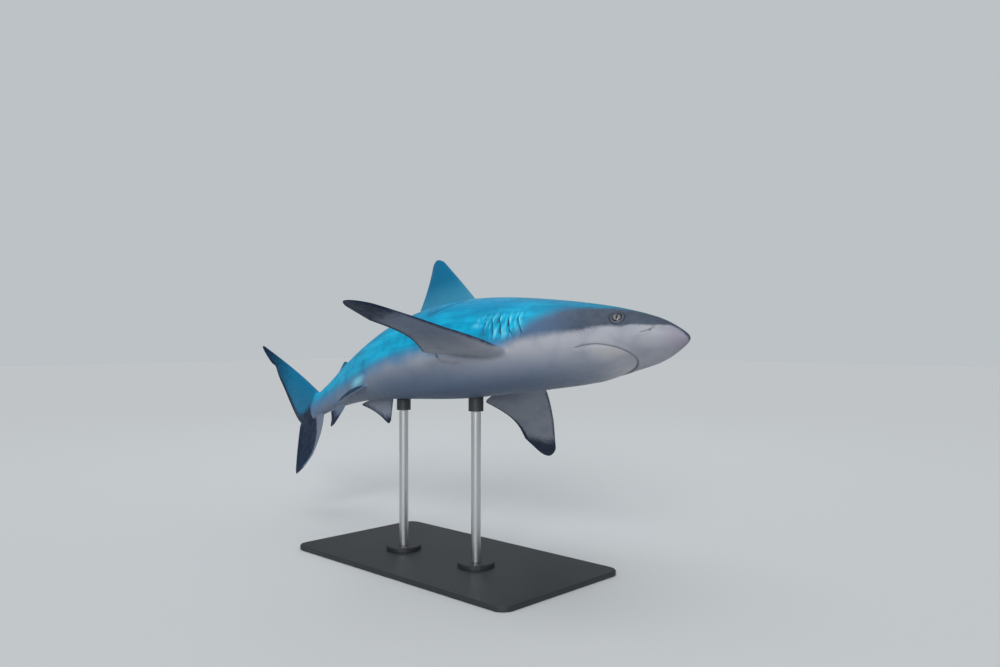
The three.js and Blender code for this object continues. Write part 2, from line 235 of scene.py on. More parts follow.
def bodyBacks():
    n, end, fade = body["noseRows"], body["headEnd"], body["headFade"]
    backs = [body["noseEnd"] * (1 - math.cos(math.pi / 2 * (i + 0.35) / n)) for i in range(n)]
    while backs[-1] < bodyEnd:
        backs.append(backs[-1] + lerp(body["headRow"], body["trunkRow"],
                                      smooth(backs[-1], end - fade, end + fade)))
    backs[-1] = bodyEnd
    return backs


def columnAngle(column):
    return math.pi / 2 + 2 * math.pi * column / body["columns"]


def ringPlaces(place):
    return [place(columnAngle(c)) for c in range(body["columns"])]


def lobeShares():
    count = upperLobe["rows"]
    return [(i + 1) / count for i in range(count - 1)] + [0.9985]


def makeTube(bm):
    rows = [ringPlaces(lambda a, b=b: bodyPoint(b, a)) for b in bodyBacks()]
    rows += [ringPlaces(lambda a, s=s: lobePoint(s, a)) for s in lobeShares()]
    ring = bmesh.ops.create_circle(bm, segments=body["columns"], radius=1)["verts"]
    ring.sort(key=lambda v: math.atan2(v.co.y, v.co.x))
    rings = [ring]
    for _ in rows[1:]:
        rings.append(grown(bm, rings[-1]))
    for ring, places in zip(rings, rows):
        for v, co in zip(ring, places):
            v.co = co
    closeRing(bm, rings[0])
    closeRing(bm, rings[-1])
    return rings


# ---- fins ----

# "back" is where the root's front lies and "root" its length; the rear edge leaves a free corner,
# dips, and ends "tip" behind the leading edge, which is swept back by "sweep" at the full span
fins = {
    "dorsalFirst": {
        "back": 524, "span": 168, "sweep": 157, "root": 159, "corner": 42, "cornerOut": 15,
        "bow": 1.03, "dip": 7, "dipEnd": 1, "tip": 26, "round": 0.1, "thick": 16, "fillet": 9,
        "rows": 46,
    },
    "dorsalSecond": {
        "back": 1032, "span": 38, "sweep": 53, "root": 69, "corner": 50, "cornerOut": 8,
        "bow": 1, "dip": 8, "dipEnd": 1, "tip": 12, "round": 0.15, "thick": 8, "fillet": 4,
        "rows": 18,
    },
    "anal": {
        "back": 1028, "span": 53, "sweep": 78, "root": 76, "corner": 45, "cornerOut": 9,
        "bow": 1.4, "dip": 8, "dipEnd": 1, "tip": 27, "round": 0.12, "thick": 8, "fillet": 4,
        "rows": 22,
    },
    "tailLower": {
        "back": 1208, "span": 144, "sweep": 170, "root": 163, "corner": 5, "cornerOut": 6,
        "bow": 2.5, "dip": -3, "dipEnd": 1, "tip": 13, "round": 0.1, "thick": 13, "fillet": 7,
        "rows": 42,
    },
    "pectoral": {
        "back": 362, "span": 298, "sweep": 134, "root": 103, "corner": 80, "cornerOut": 35,
        "bow": 1.35, "dip": 22, "dipEnd": 0.64, "tip": 44, "round": 0.1, "thick": 20, "fillet": 11,
        "rows": 72,
    },
    "pelvic": {
        "back": 816, "span": 69, "sweep": 38, "root": 87, "corner": 85, "cornerOut": 12,
        "bow": 1, "dip": 18, "dipEnd": 1, "tip": 16, "round": 0.15, "thick": 10, "fillet": 6,
        "rows": 28,
    },
}
pectoralRoot = {"side": 86, "up": -58}
pectoralPose = {
    1: {"droop": 2, "pitch": 1.2, "sweep": 0.1},
    -1: {"droop": 10.7, "pitch": 7.6, "sweep": -2},
}
pelvicRoot = {"side": 38, "up": -71, "taperIn": 0.08, "rise": 0.12}
pelvicDroop = {1: 52, -1: 57}
finShare = {
    # the thickness lost towards the tip, along the rear edge, and at the rear of the root
    "tipThin": 0.8, "rearThin": 0.55, "rootThin": 0.6,
    "swell": 0.45, "heart": 0.6,  # half the fullness, and where the chord closes at the tip
}
filletRows = 6
evenUpTo = 0.35  # the share of a fin over which its columns spread evenly round it
nearRows = 5  # how far round a fin's foot the body's mesh is evened out, in rows and columns
evenings = 14


def finChord(fin, share):
    front = fin["sweep"] * share ** fin["bow"]
    out = share * fin["span"]
    past = clamp((out - fin["cornerOut"]) / (fin["span"] - fin["cornerOut"]))
    full = fin["root"] + fin["corner"]
    if out < fin["cornerOut"]:
        rear = fin["root"] + fin["corner"] * math.sin(math.pi / 2 * clamp(out / fin["cornerOut"]))
    else:
        dip = fin["dip"] * math.sin(math.pi * min(past / fin["dipEnd"], 1))
        rear = lerp(full, fin["sweep"] + fin["tip"], past) - dip
    heart = lerp(front, rear, finShare["heart"])
    isOpen = math.sqrt(1 - clamp((share - 1 + fin["round"]) / fin["round"]) ** 2)
    return lerp(heart, front, isOpen), lerp(heart, rear, isOpen), isOpen


# a fin's own axes, from the front end of its root: along it, out to the tip and through it
def finAxes(start, along, out):
    x = along.normalized()
    y = (out - x * out.dot(x)).normalized()
    return start, x, y, x.cross(y)


def finPoint(fin, axes, theta, out):
    start, x, y, z = axes
    share = max(out / fin["span"], 0)
    front, rear, isOpen = finChord(fin, share)
    across = math.cos(theta)
    thin = 1 - finShare["rootThin"] * smooth(across, 0.1, 1) * smooth(share, 0, 0.2)
    thick = fin["thick"] * (1 - finShare["tipThin"] * share) * finShare["swell"] * math.sin(theta)
    thick *= 1 - finShare["rearThin"] * across
    return start + x * lerp(front, rear, (1 + across) / 2) + y * out + z * thick * thin * isOpen


# how far out a line through the fin leaves the body
def leaves(fin, axes, theta):
    low, high = -30.0, 45.0
    for _ in range(22):
        middle = (low + high) / 2
        if insideBody(finPoint(fin, axes, theta, middle)):
            low = middle
        else:
            high = middle
    return low


# the places round a fin's foot: (theta, how far out it leaves the body, that place, the fillet's edge)
def finFoot(fin, axes, samples=96):
    foot = []
    for i in range(samples + 1):
        theta = math.pi - 2 * math.pi * i / samples
        out = leaves(fin, axes, theta)
        foot.append([theta, out, finPoint(fin, axes, theta, out), None])
    for i, item in enumerate(foot):
        ahead = foot[(i + 1) % samples][2]
        behind = foot[(i - 1) % samples][2]
        outward = (ahead - behind).cross(axes[2]).normalized()
        if outward.dot(item[2] - (foot[0][2] + foot[samples // 2][2]) / 2) < 0:
            outward.negate()
        item[3] = settled(item[2] + outward * fin["fillet"])
    return foot


# shares of the way along a line of places
def shares(places):
    lengths = [0.0]
    for a, b in zip(places, places[1:]):
        lengths.append(lengths[-1] + (b - a).length)
    return [x / lengths[-1] for x in lengths]


# cuts a block of the rings out and gives its border, from the middle of its front edge
def cutBlock(bm, rings, rowA, rowB, columnA, columnB):
    count = body["columns"]

    def at(row, column):
        return rings[row][column % count]

    block = {at(r, c) for r in range(rowA, rowB + 1) for c in range(columnA, columnB + 1)}
    faces = {f for v in block for f in v.link_faces if all(w in block for w in f.verts)}
    middle = (columnA + columnB) // 2
    border = [at(rowA, c) for c in range(middle, columnB + 1)]
    border += [at(r, columnB) for r in range(rowA + 1, rowB + 1)]
    half = len(border) - 1 + (columnB - middle)
    border += [at(rowB, c) for c in range(columnB - 1, columnA - 1, -1)]
    border += [at(r, columnA) for r in range(rowB - 1, rowA - 1, -1)]
    border += [at(rowA, c) for c in range(columnA + 1, middle)]
    bmesh.ops.delete(bm, geom=list(faces), context="FACES")
    near = {at(r, c) for r in range(rowA - nearRows, rowB + nearRows + 1)
            for c in range(columnA - nearRows, columnB + nearRows + 1)
            if not (rowA <= r <= rowB and columnA <= c <= columnB)}
    return border, half, near


# turns a border round where needed, so that its first half lies where the fin's own z points
def facing(border, half, axes):
    count = len(border)
    quarter, other = border[half // 2], border[(half + count) // 2]
    if (quarter.co - other.co).dot(axes[3]) > 0:
        return border, half
    return [border[0]] + border[:0:-1], count - half


# the theta of each place of a border: the same share of the way round as on the fin's foot
def footThetas(border, half, foot):
    middle = len(foot) // 2
    places = [v.co for v in border] + [border[0].co]
    thetas = []
    for lot, part in ((places[:half + 1], foot[:middle + 1]), (places[half:], foot[middle:])):
        rim = shares([item[3] for item in part])
        table = list(zip(rim, [item[0] for item in part]))
        thetas += [between(table, s) for s in shares(lot)[:-1]]
    return thetas


def rowsOut(fin):
    n = fin["rows"]
    return [math.sin(math.pi / 2 * (i + 1) / n) for i in range(n - 1)] + [0.99995]


# grows a fin from a border of the skin and returns its vertices with (theta, out)
def growFin(bm, fin, axes, border, half, starts):
    count = len(border)
    even = [math.pi * (1 - i / half) if i <= half else -math.pi * (i - half) / (count - half)
            for i in range(count)]
    made = {}
    ring = border
    places = [v.co.copy() for v in border]
    for k in range(1, filletRows + 1):
        t = k / filletRows
        ring = grown(bm, ring)
        for v, (theta, out), rim in zip(ring, starts, places):
            heel = finPoint(fin, axes, theta, out)
            top = finPoint(fin, axes, theta, out + fin["fillet"])
            v.co = bezier([rim, heel, top], t)
            made[v] = (theta, out + fin["fillet"] * t)
    for share in rowsOut(fin):
        ring = grown(bm, ring)
        ease = smooth(share, 0, evenUpTo)
        for v, (theta, out), level in zip(ring, starts, even):
            turned = lerp(theta, level, ease)
            reach = lerp(out + fin["fillet"], fin["span"], share)
            v.co = finPoint(fin, axes, turned, reach)
            made[v] = (turned, reach)
    closeRing(bm, ring)
    return made


def bodyFin(bm, rings, fin, axes):
    foot = finFoot(fin, axes)
    rims = [item[3] for item in foot]
    backs = bodyBacks()
    centre = angleOf(sum(rims, Vector()) / len(rims))
    turns = [(angleOf(p) - centre + math.pi) % (2 * math.pi) - math.pi for p in rims]
    step = 2 * math.pi / body["columns"]
    columns = [(centre + t - math.pi / 2) / step for t in (min(turns), max(turns))]
    border, half, near = cutBlock(
        bm, rings, nearest(backs, min(p.x for p in rims)), nearest(backs, max(p.x for p in rims)),
        round(columns[0]), round(columns[1]),
    )
    border, half = facing(border, half, axes)
    thetas = footThetas(border, half, foot)
    table = sorted((item[0], item[1]) for item in foot)
    rimTable = [sorted((item[0], item[3][k]) for item in foot) for k in range(3)]
    for v, theta in zip(border, thetas):
        v.co = settled(Vector([between(t, theta) for t in rimTable]))
    near = [v for v in near if v.is_valid]
    for _ in range(evenings):
        bmesh.ops.smooth_vert(bm, verts=near, factor=0.5, use_axis_x=True, use_axis_y=True,
                              use_axis_z=True)
        for v in near:
            v.co = settled(v.co)
    return growFin(bm, fin, axes, border, half, [(t, between(table, t)) for t in thetas])


def middleAxes(fin, sense):
    front = bodyPoint(fin["back"], sense * math.pi / 2)
    rear = bodyPoint(min(fin["back"] + fin["root"], bodyEnd), sense * math.pi / 2)
    return finAxes(front - Vector((0, 0, sense * 2)), rear - front, Vector((0, 0, sense)))


def pectoralAxes(side):
    droop, pitch, sweep = [math.radians(pectoralPose[side][k]) for k in ("droop", "pitch", "sweep")]
    start = Vector((fins["pectoral"]["back"], side * pectoralRoot["side"], pectoralRoot["up"]))
    along = Vector((math.cos(pitch), 0, -math.sin(pitch)))
    out = Vector((
        math.sin(sweep), side * math.cos(droop) * math.cos(sweep), -math.sin(droop) * math.cos(sweep),
    ))
    return finAxes(start, along, out)


def pelvicAxes(side):
    start = Vector((fins["pelvic"]["back"], side * pelvicRoot["side"], pelvicRoot["up"]))
    along = Vector((1, -side * pelvicRoot["taperIn"], pelvicRoot["rise"]))
    droop = math.radians(pelvicDroop[side])
    return finAxes(start, along, Vector((0, side * math.cos(droop), -math.sin(droop))))


# the tail fin's lower lobe grows from the underside of the upper one
def growTailLower(bm, rings):
    fin = fins["tailLower"]
    start = bodyPoint(fin["back"], -math.pi / 2) + Vector((0, 0, 4))
    axes = finAxes(start, Vector((1, 0, 0)), Vector((0, 0, -1)))
    under, halfColumns = body["columns"] // 2, 6
    backs = bodyBacks() + [lobePoint(s, -math.pi / 2).x for s in lobeShares()]
    rowA = nearest(backs, fin["back"] - fin["fillet"])
    rowB = nearest(backs, fin["back"] + fin["root"] + 4)
    border, half, _ = cutBlock(bm, rings, rowA, rowB, under - halfColumns, under + halfColumns)
    border, half = facing(border, half, axes)
    starts = []
    for i, v in enumerate(border):
        along = clamp((v.co.x - start.x) / fin["root"], 0.0, 1.0)
        theta = math.acos(clamp(2 * along - 1, -1, 1))
        starts.append((theta if i <= half else -theta, (v.co - start).dot(axes[2])))
    return growFin(bm, fin, axes, border, half, starts)


# ---- the curved spine ----

spine = {
    # degrees per 100 mm, + to the left; degrees per 100 mm upward; degrees of twist
    "turns": [(297, 0), (495, 3.7), (693, 6.3), (908, 3.6), (1089, 0.8), (1221, -3.0),
              (1353, -5.7), (1650, -4.5)],
    "droops": [(297, 0), (742, -1.25), (1238, 0)],
    "twists": [(165, 6.9), (412, -2.0), (660, 0), (908, 0.2), (1287, -13.4)],
    "step": 5,
}
swim = {"x": 601, "y": 84, "z": 530, "bank": -26, "noseUp": 2.1, "heading": 11.8}


def walkSpine():
    step = spine["step"]
    place, turn, droop = Vector(), 0.0, 0.0
    nodes = []
    for i in range(int(spine["turns"][-1][0] / step) + 1):
        middle = (i + 0.5) * step
        tailward = Vector((
            -math.cos(turn) * math.cos(droop), math.sin(turn) * math.cos(droop), math.sin(droop),
        ))
        nodes.append((place.copy(), tailward))
        place += tailward * step
        turn += math.radians(between(spine["turns"], middle) * step / 100)
        droop += math.radians(between(spine["droops"], middle) * step / 100)
    return nodes


spineNodes = walkSpine()
swimMatrix = Matrix.Translation((swim["x"], swim["y"], swim["z"])) @ (
    Matrix.Rotation(math.radians(swim["heading"]), 4, "Z")
    @ Matrix.Rotation(math.radians(-swim["noseUp"]), 4, "Y")
    @ Matrix.Rotation(math.radians(swim["bank"]), 4, "X")
)


# a straight place, in millimetres, carried to its place in the frame, in metres
def carried(point):
    steps = clamp(point.x / spine["step"], 0, len(spineNodes) - 1.001)
    (placeA, wayA), (placeB, wayB) = spineNodes[int(steps)], spineNodes[int(steps) + 1]
    part = steps - int(steps)
    tailward = wayA.lerp(wayB, part).normalized()
    place = placeA.lerp(placeB, part) + tailward * min(point.x, 0)
    up = (Vector((0, 0, 1)) - tailward * tailward.z).normalized()
    twist = Matrix.Rotation(math.radians(between(spine["twists"], point.x)), 3, tailward)
    right = twist @ up.cross(tailward)
    return swimMatrix @ (place + right * point.y + (twist @ up) * point.z) * mm


# ---- mouth, eyes, nostrils, gill slits and folds ----
#
# Each of these gives (relief, line) at a place on the right side: how far the skin stands out, in
# millimetres, and how dark (+) or light (-) a line the skin carries there, up to 1: painted shade in
# the grooves, creases and hollows, and painted highlights on the ridges and edges beside them. Names
# that end in Width are the half widths of soft ridges, grooves and lines, and ones in Line, Shade or
# Highlight how much painted shade or highlight they carry.

eye = {
    "centre": Vector((132.5, 57.5, 6.5)), "axis": Vector((-0.22, 0.93, 0.24)).normalized(),
    "ball": 15.5, "tall": 1.14, "hole": 9.4, "sink": 8,
    # the lid carries a painted highlight, and the ring's crease and the hole's rim carry painted
    # shade, darker above, where the brow shades them
    "lid": 11.6, "lidHeight": 1.5, "lidWidth": 2.4, "lidHighlight": -0.2,
    "ring": 15.2, "ringDepth": 1.5, "ringWidth": 1.3, "puff": 0.9, "puffOut": 4, "puffWidth": 3.5,
    "ringShade": (0.45, 0.75), "rimShade": (0.25, 0.8),  # below and above the eye
    "iris": 8.3, "irisDrop": 1.0, "pupilHalf": 2.2, "pupilTall": 6.4, "pupilLean": -6,
}
mouth = {
    "front": 103, "corner": 205, "half": 68.5, "below": -20, "fade": 10,
    "grooveFront": 3.2, "grooveCorner": 1.9, "outerWidth": 1.0, "innerWidth": 2.2,
    "upperLip": 0.66, "upperOut": 5, "upperWidth": 3.2, "lip": 1.1, "lipIn": 7, "lipWidth": 4.5,
    "jawSunk": 2.6, "jawWidth": 40, "shadeLine": 0.14, "shadeWidth": 6,
    # the jaw's painted highlight, in cream: how light, how far in and how wide
    "creamHighlight": [(0.4, 9, 7), (0.4, 24, 22)],
}
nostril = {
    "line": [Vector(p) for p in ((80, 56.6, -21), (70, 53.5, -15), (63, 51, -11), (57, 48.5, -3))],
    "depth": 3.0, "width": 1.5, "hole": 1.8, "holeWidth": 2.6, "dark": 0.5, "holeShade": 0.3,
    "flap": 1.3, "flapWidth": 2.6, "flapFrom": Vector((2.6, 0, -4.2)), "flapHighlight": 0.1,
}
gills = {
    # back, up, half height, bow of the upper end towards the snout
    "slits": [(340, 0, 23, 5), (362, -1, 25, 4), (383, 2, 26, 2), (401, 3, 22, 1), (416, 0, 17, -5)],
    "lean": 0.2, "uneven": 0.6, "depth": 5.0, "flap": 2.2, "ahead": 8, "behind": 2.0, "edge": 0.7,
    # painted shade in each slit: darkness, how far behind the slit, and half width; the painted
    # highlight on the flap's edge lies ahead of it
    "slitShades": [(0.95, 0.8, 1.3), (0.3, 3.5, 3.5)], "edgeHighlight": (0.6, 2.2, 1.5),
    "wrinkle": 1.4, "wrinkleLength": 5.0, "wrinkleTall": 26, "wrinkleShading": 0.85,
}
folds = [
    # a line of places, half width, depth, and how dark the painted shade in its groove is
    {"line": [(612, 81, 42), (566, 76, 61), (534, 67, 76), (500, 53, 93)], "width": 5.0,
     "depth": 1.9, "dark": 0.55},
    {"line": [(540, 84, -57), (526, 79, -70), (489, 77, -75), (452, 79, -72)], "width": 6.0,
     "depth": 1.6, "dark": 0.3},
    {"line": [(541, 85, -50), (534, 82, -64)], "width": 4.0, "depth": 1.5, "dark": 0.8},
]
for fold in folds:
    fold["line"] = [Vector(p) for p in fold["line"]]


# how far a place lies from a line of places, and its share of the way along
def lineDistance(point, line):
    best = (1e9, 0.0)
    for i, (a, b) in enumerate(zip(line, line[1:])):
        way = b - a
        t = clamp((point - a).dot(way) / way.length_squared)
        best = min(best, ((point - a - way * t).length, (i + t) / (len(line) - 1)))
    return best


# how far a place lies outside the mouth's line, and its share of the way from the front to a corner
def mouthAcross(point):
    x = (mouth["corner"] - point.x) / (mouth["corner"] - mouth["front"])
    y = abs(point.y) / mouth["half"]
    if x <= 0:
        return (y - 1) * mouth["half"], 1.0
    q = max(math.hypot(x, y), 1e-6)
    slope = math.hypot(x / (mouth["corner"] - mouth["front"]), y / mouth["half"]) / q
    return (q - 1) / slope, math.atan2(y, x) / (math.pi / 2)


def mouthMarks(point):
    if point.z > mouth["below"] or point.x > mouth["corner"] + 60:
        return 0.0, 0.0
    across, along = mouthAcross(point)
    ended = 1 - smooth(point.x, mouth["corner"] - 4, mouth["corner"] + mouth["fade"])
    depth = lerp(mouth["grooveFront"], mouth["grooveCorner"], along)
    if across > 0:
        # the line is painted shade in the mouth's groove and under the upper lip; inside it, the jaw's
        # edge carries a painted highlight
        relief = -depth * bump(across, mouth["outerWidth"])
        relief += mouth["upperLip"] * bump(across - mouth["upperOut"], mouth["upperWidth"])
        line = bump(across, lerp(1.2, 0.7, along))
        line += mouth["shadeLine"] * (1 - along) * bump(across, mouth["shadeWidth"])
    else:
        relief = -depth * bump(across, mouth["innerWidth"])
        relief += mouth["lip"] * bump(across + mouth["lipIn"], mouth["lipWidth"]) * along
        sunk = smooth(-across, 0, 3) * bump(across, mouth["jawWidth"])
        relief -= mouth["jawSunk"] * (1 - along) * sunk
        line = bump(across, lerp(1.3, 0.7, along))
        shown = smooth(along, 0.05, 0.4) * (1 - smooth(point.x, mouth["corner"] - 50, mouth["corner"]))
        for light, inward, width in mouth["creamHighlight"]:
            line -= light * bump(across + inward, width) * shown
    strength = lerp(0.8, 0.6, smooth(along, 0.3, 0.7)) * lerp(0.55, 1, smooth(along, 0.04, 0.3))
    return relief * ended, line * strength * ended


def nostrilMarks(point):
    if not 40 < point.x < 100:
        return 0.0, 0.0
    line = nostril["line"]
    away, along = lineDistance(point, line)
    if away > 16:
        return 0.0, 0.0
    slim = lerp(0.6, 1.0, math.sin(math.pi * clamp(along)))
    relief = -nostril["depth"] * bump(away, nostril["width"]) * slim
    fromHole = (point - line[2]).length
    relief -= nostril["hole"] * bump(fromHole, nostril["holeWidth"])
    flapAway, _ = lineDistance(point, [p + nostril["flapFrom"] for p in line[:3]])
    relief += nostril["flap"] * bump(flapAway, nostril["flapWidth"])
    # painted shade in the groove and the hole, and a painted highlight on the flap below them
    dark = nostril["dark"] * bump(away, 1.4) * slim + nostril["holeShade"] * bump(fromHole, 2.4)
    return relief, dark - nostril["flapHighlight"] * bump(flapAway, 4) * (1 - dark)


def gillAcross(slit, point):
    back, up, half, bow = slit
    tall = (point.z - up) / half
    uneven = gills["uneven"] * math.sin(point.z * 0.2 + back)
    leaning = gills["lean"] * (point.z - up)
    return point.x - back - leaning + bow * (1 - tall) ** 2 / 2 - uneven, tall


def gillMarks(point):
    if not 300 < point.x < 470 or not -58 < point.z < 60:
        return 0.0, 0.0
    relief = line = 0.0
    for slit in gills["slits"]:
        across, tall = gillAcross(slit, point)
        strength = 1 - smooth(abs(tall), 0.55, 1.08)
        if across < 0:
            relief += strength * gills["flap"] * smooth(across, -gills["ahead"], -gills["edge"])
            relief -= strength * gills["flap"] * smooth(across, -gills["edge"], 0)
        else:
            shut = 1 - smooth(across, gills["edge"], gills["behind"] + 3)
            relief -= strength * gills["depth"] * shut * smooth(across, -0.1, gills["edge"])
        for dark, back, width in gills["slitShades"]:
            line += strength * dark * bump(across - back, width)
        # the painted highlight on a flap's edge is stronger on the slit's upper half, where light
        # falls from above
        light, ahead, width = gills["edgeHighlight"]
        lit = 1 if tall > 0 else 0.45
        line -= strength * lit * light * bump(across + ahead, width) * smooth(abs(tall), 0.1, 0.5)
    # wrinkles by the gill slits, with painted shade in their hollows and painted highlights on their
    # crests
    near = smooth(point.x, 318, 340) * (1 - smooth(point.x, 432, 462))
    near *= 1 - smooth(abs(point.z), 20, 42)
    fan = clamp((point.x - 405) / 45)
    u = point.x * (1 - fan) + (420 + (point.z + 12) * 1.6) * fan
    folded = noise.noise(Vector((u / gills["wrinkleLength"], point.z / gills["wrinkleTall"], 0.5)))
    return relief + near * gills["wrinkle"] * folded, line - near * gills["wrinkleShading"] * folded


def eyeAway(point):
    near = point - eye["centre"]
    along = near.dot(eye["axis"])
    flat = near - eye["axis"] * along
    return math.hypot(math.hypot(flat.x, flat.y), flat.z / eye["tall"]), along


def eyeMarks(point):
    if not 100 < point.x < 170:
        return 0.0, 0.0
    away, along = eyeAway(point)
    if along < 3 or away > 32:
        return 0.0, 0.0
    relief = eye["lidHeight"] * bump(away - eye["lid"], eye["lidWidth"])
    relief -= eye["ringDepth"] * bump(away - eye["ring"], eye["ringWidth"])
    relief += eye["puff"] * bump(away - eye["ring"] - eye["puffOut"], eye["puffWidth"])
    # painted shade in the ring's crease and at the hole's rim, darker above under the brow, a painted
    # highlight on the lid, and full painted shade on the sunk skin inside the hole
    upper = 0.5 + 0.5 * clamp((point.z - eye["centre"].z) / 10, -1, 1)
    line = lerp(*eye["ringShade"], upper) * bump(away - eye["ring"], eye["ringWidth"])
    line += lerp(*eye["rimShade"], upper) * bump(away - eye["hole"] - 0.2, eye["ringWidth"])
    line += eye["lidHighlight"] * bump(away - eye["lid"] - 0.6, 1.6)
    inside = 1 - smooth(away, eye["hole"] - 1.4, eye["hole"] + 0.3)
    return lerp(relief, -eye["sink"], inside), lerp(line, 1.0, inside)


def foldMarks(point):
    relief = line = 0.0
    for fold in folds:
        away, along = lineDistance(point, fold["line"])
        width = fold["width"]
        if away > 4 * width:
            continue
        strength = math.sin(math.pi * clamp(0.08 + 0.84 * along))
        relief += strength * fold["depth"] * (bump(away, width * 1.8) - 1.6 * bump(away, width))
        line += strength * fold["dark"] * bump(away, width * 0.7)
    return relief, line


# the folds show on the stretched right side alone, and all else on both
def marksOf(point):
    near = Vector((point.x, abs(point.y), point.z))
    marks = [mouthMarks(near), nostrilMarks(near), gillMarks(near), eyeMarks(near)]
    if point.y > 0:
        marks.append(foldMarks(near))
    return sum(m[0] for m in marks), clamp(sum(m[1] for m in marks), -1, 1)


def featurePlaces():
    places = []
    for i in range(60):
        t = math.pi / 2 * i / 58
        back = mouth["corner"] - (mouth["corner"] - mouth["front"]) * math.cos(t)
        across = mouth["half"] * math.sin(min(t, math.pi / 2))
        half, level, reach, square = section(back, False)
        drop = (1 - clamp(across / half) ** square) ** (1 / square)
        places.append(Vector((back, across, level - reach * drop)))
    for a, b in zip(nostril["line"], nostril["line"][1:]):
        places += [a.lerp(b, i / 4) for i in range(5)]
    for back, up, half, bow in gills["slits"]:
        for i in range(17):
            tall = i / 8 - 1
            x = back + gills["lean"] * half * tall - bow * (1 - tall) ** 2 / 2
            places.append(settled(Vector((x, 90, up + half * tall))))
    centre, axis = eye["centre"], eye["axis"]
    level = (settled(centre + Vector((0, 20, 0))) - centre).dot(axis)
    across = axis.cross(Vector((0, 0, 1))).normalized()
    tall = across.cross(axis) * eye["tall"]
    for radius in (eye["hole"], eye["ring"]):
        for i in range(32):
            turn = 2 * math.pi * i / 32
            ring = across * math.cos(turn) + tall * math.sin(turn)
            places.append(centre + axis * level + ring * radius)
    places += [Vector((p.x, -p.y, p.z)) for p in places]
    for a, b in zip(folds[0]["line"], folds[0]["line"][1:]):
        places += [settled(a.lerp(b, i / 6)) for i in range(7)]
    return places


# splits the faces near the features, so that these have enough of them
def refine(bm, onFin, reach):
    places = featurePlaces()
    tree = KDTree(len(places))
    for i, place in enumerate(places):
        tree.insert(place, i)
    tree.balance()
    for limit in reach:
        faces = [f for f in bm.faces if tree.find(f.calc_center_median())[2] < limit
                 and not any(v[onFin] for v in f.verts)]
        edges = {e for f in faces for e in f.edges}
        made = bmesh.ops.subdivide_edges(bm, edges=list(edges), cuts=1, use_grid_fill=True)
        for v in made["geom_inner"]:
            if isinstance(v, bmesh.types.BMVert):
                v.co = settled(v.co)


# ---- markings, as fields in millimetres that the skin's material reads ----

markings = {
    # how high the dark back's lower edge lies, and how high the painted blue water light takes over
    # from the grey on the head
    "edge": [(0, -6), (13, 5), (28, 12), (38, 10), (49, 5), (61, -1), (71, -3), (104, -6), (122, -13),
             (159, -15), (189, -20), (209, -24), (273, -28), (306, -33), (340, -39), (367, -46),
             (420, -52), (587, -49), (735, -54), (860, -56), (923, -53), (1052, -34), (1147, -22),
             (1246, -12)],
    "paintedBlueLight": [(0, 22), (60, 36), (100, 42), (174, 37), (250, 32), (290, 19), (318, 0), (350, -34),
             (380, -66), (410, -90)],
    "far": 60,  # a field's value where its marking is nowhere near
    # the first dorsal fin's root carries a painted highlight
    "dorsalGleam": 0.2,  # how light the first dorsal fin is at its root
}
# painted shade: how the pale underside turns to a darker grey-blue lower down, along the trunk and at
# the tail's stalk
shading = {
    "headEnd": (20, 160), "starts": (22, 42), "full": (54, 110),  # down, on the head and behind it
    "belly": (0.85, 0.6), "trunk": (430, 900), "trunkShade": 0.45,
    "stalk": (900, 1150), "stalkShade": 0.3,
}
# how wide the black is along the rear edge, at the root and at the tip, and at the tip itself; a
# higher "Soft" gives it a softer border, and "plain" says how near to black a fin without it comes
tips = {
    "dorsalFirst": {"plain": -8},
    "dorsalSecond": {"plain": -6},
    "anal": {"rear": (42, 52), "rearSoft": 5, "tip": 28, "tipSoft": 1.8},
    # the pelvic fin's upper side is painted dark as shade, all but thin light edges, and the black at
    # its rear is widened in part as painted shade
    "pelvic": {"rear": (20, 24), "rearSoft": 5, "tip": 20, "tipSoft": 2.5, "front": 2,
               "above": 30, "aboveSoft": 3},  # on its upper side
    # its tip is black further in at the front than at the rear, and its root is bare
    "pectoral": {"tip": (98, 72), "tipSoft": 4.5, "rear": (4, 16), "front": 3, "bare": 12},
    # the lower tail lobe is black behind a paler leading part, the upper one along its rear edge
    "tailLower": {"lead": (44, 8), "leadSoft": 1.6, "most": 12, "tip": 14, "tipDark": 4},
    "tailUpper": {"rear": (56, 24), "rearSoft": 2.4, "plain": (-42, -10), "tip": 0.72, "tipDark": 22},
}


def bodyTone(point):
    return point.z - between(markings["edge"], point.x)


# how far above the border of the painted blue water light a place lies
def bodyBlueLight(point):
    return point.z - between(markings["paintedBlueLight"], point.x)


# how much painted shade the pale underside carries there, 0 to 1
def bodyShade(point):
    behind, rearward, stalk = [smooth(point.x, *shading[k]) for k in ("headEnd", "trunk", "stalk")]
    low = smooth(-point.z, lerp(*shading["starts"], behind), lerp(*shading["full"], behind))
    shade = low * lerp(*shading["belly"], rearward)
    return clamp(shade + shading["trunkShade"] * rearward + shading["stalkShade"] * stalk)


# how far a place on a fin lies from the leading and from the rear edge
def finGaps(fin, theta, share):
    front, rear, _ = finChord(fin, share)
    return (rear - front) * (1 + math.cos(theta)) / 2, (rear - front) * (1 - math.cos(theta)) / 2


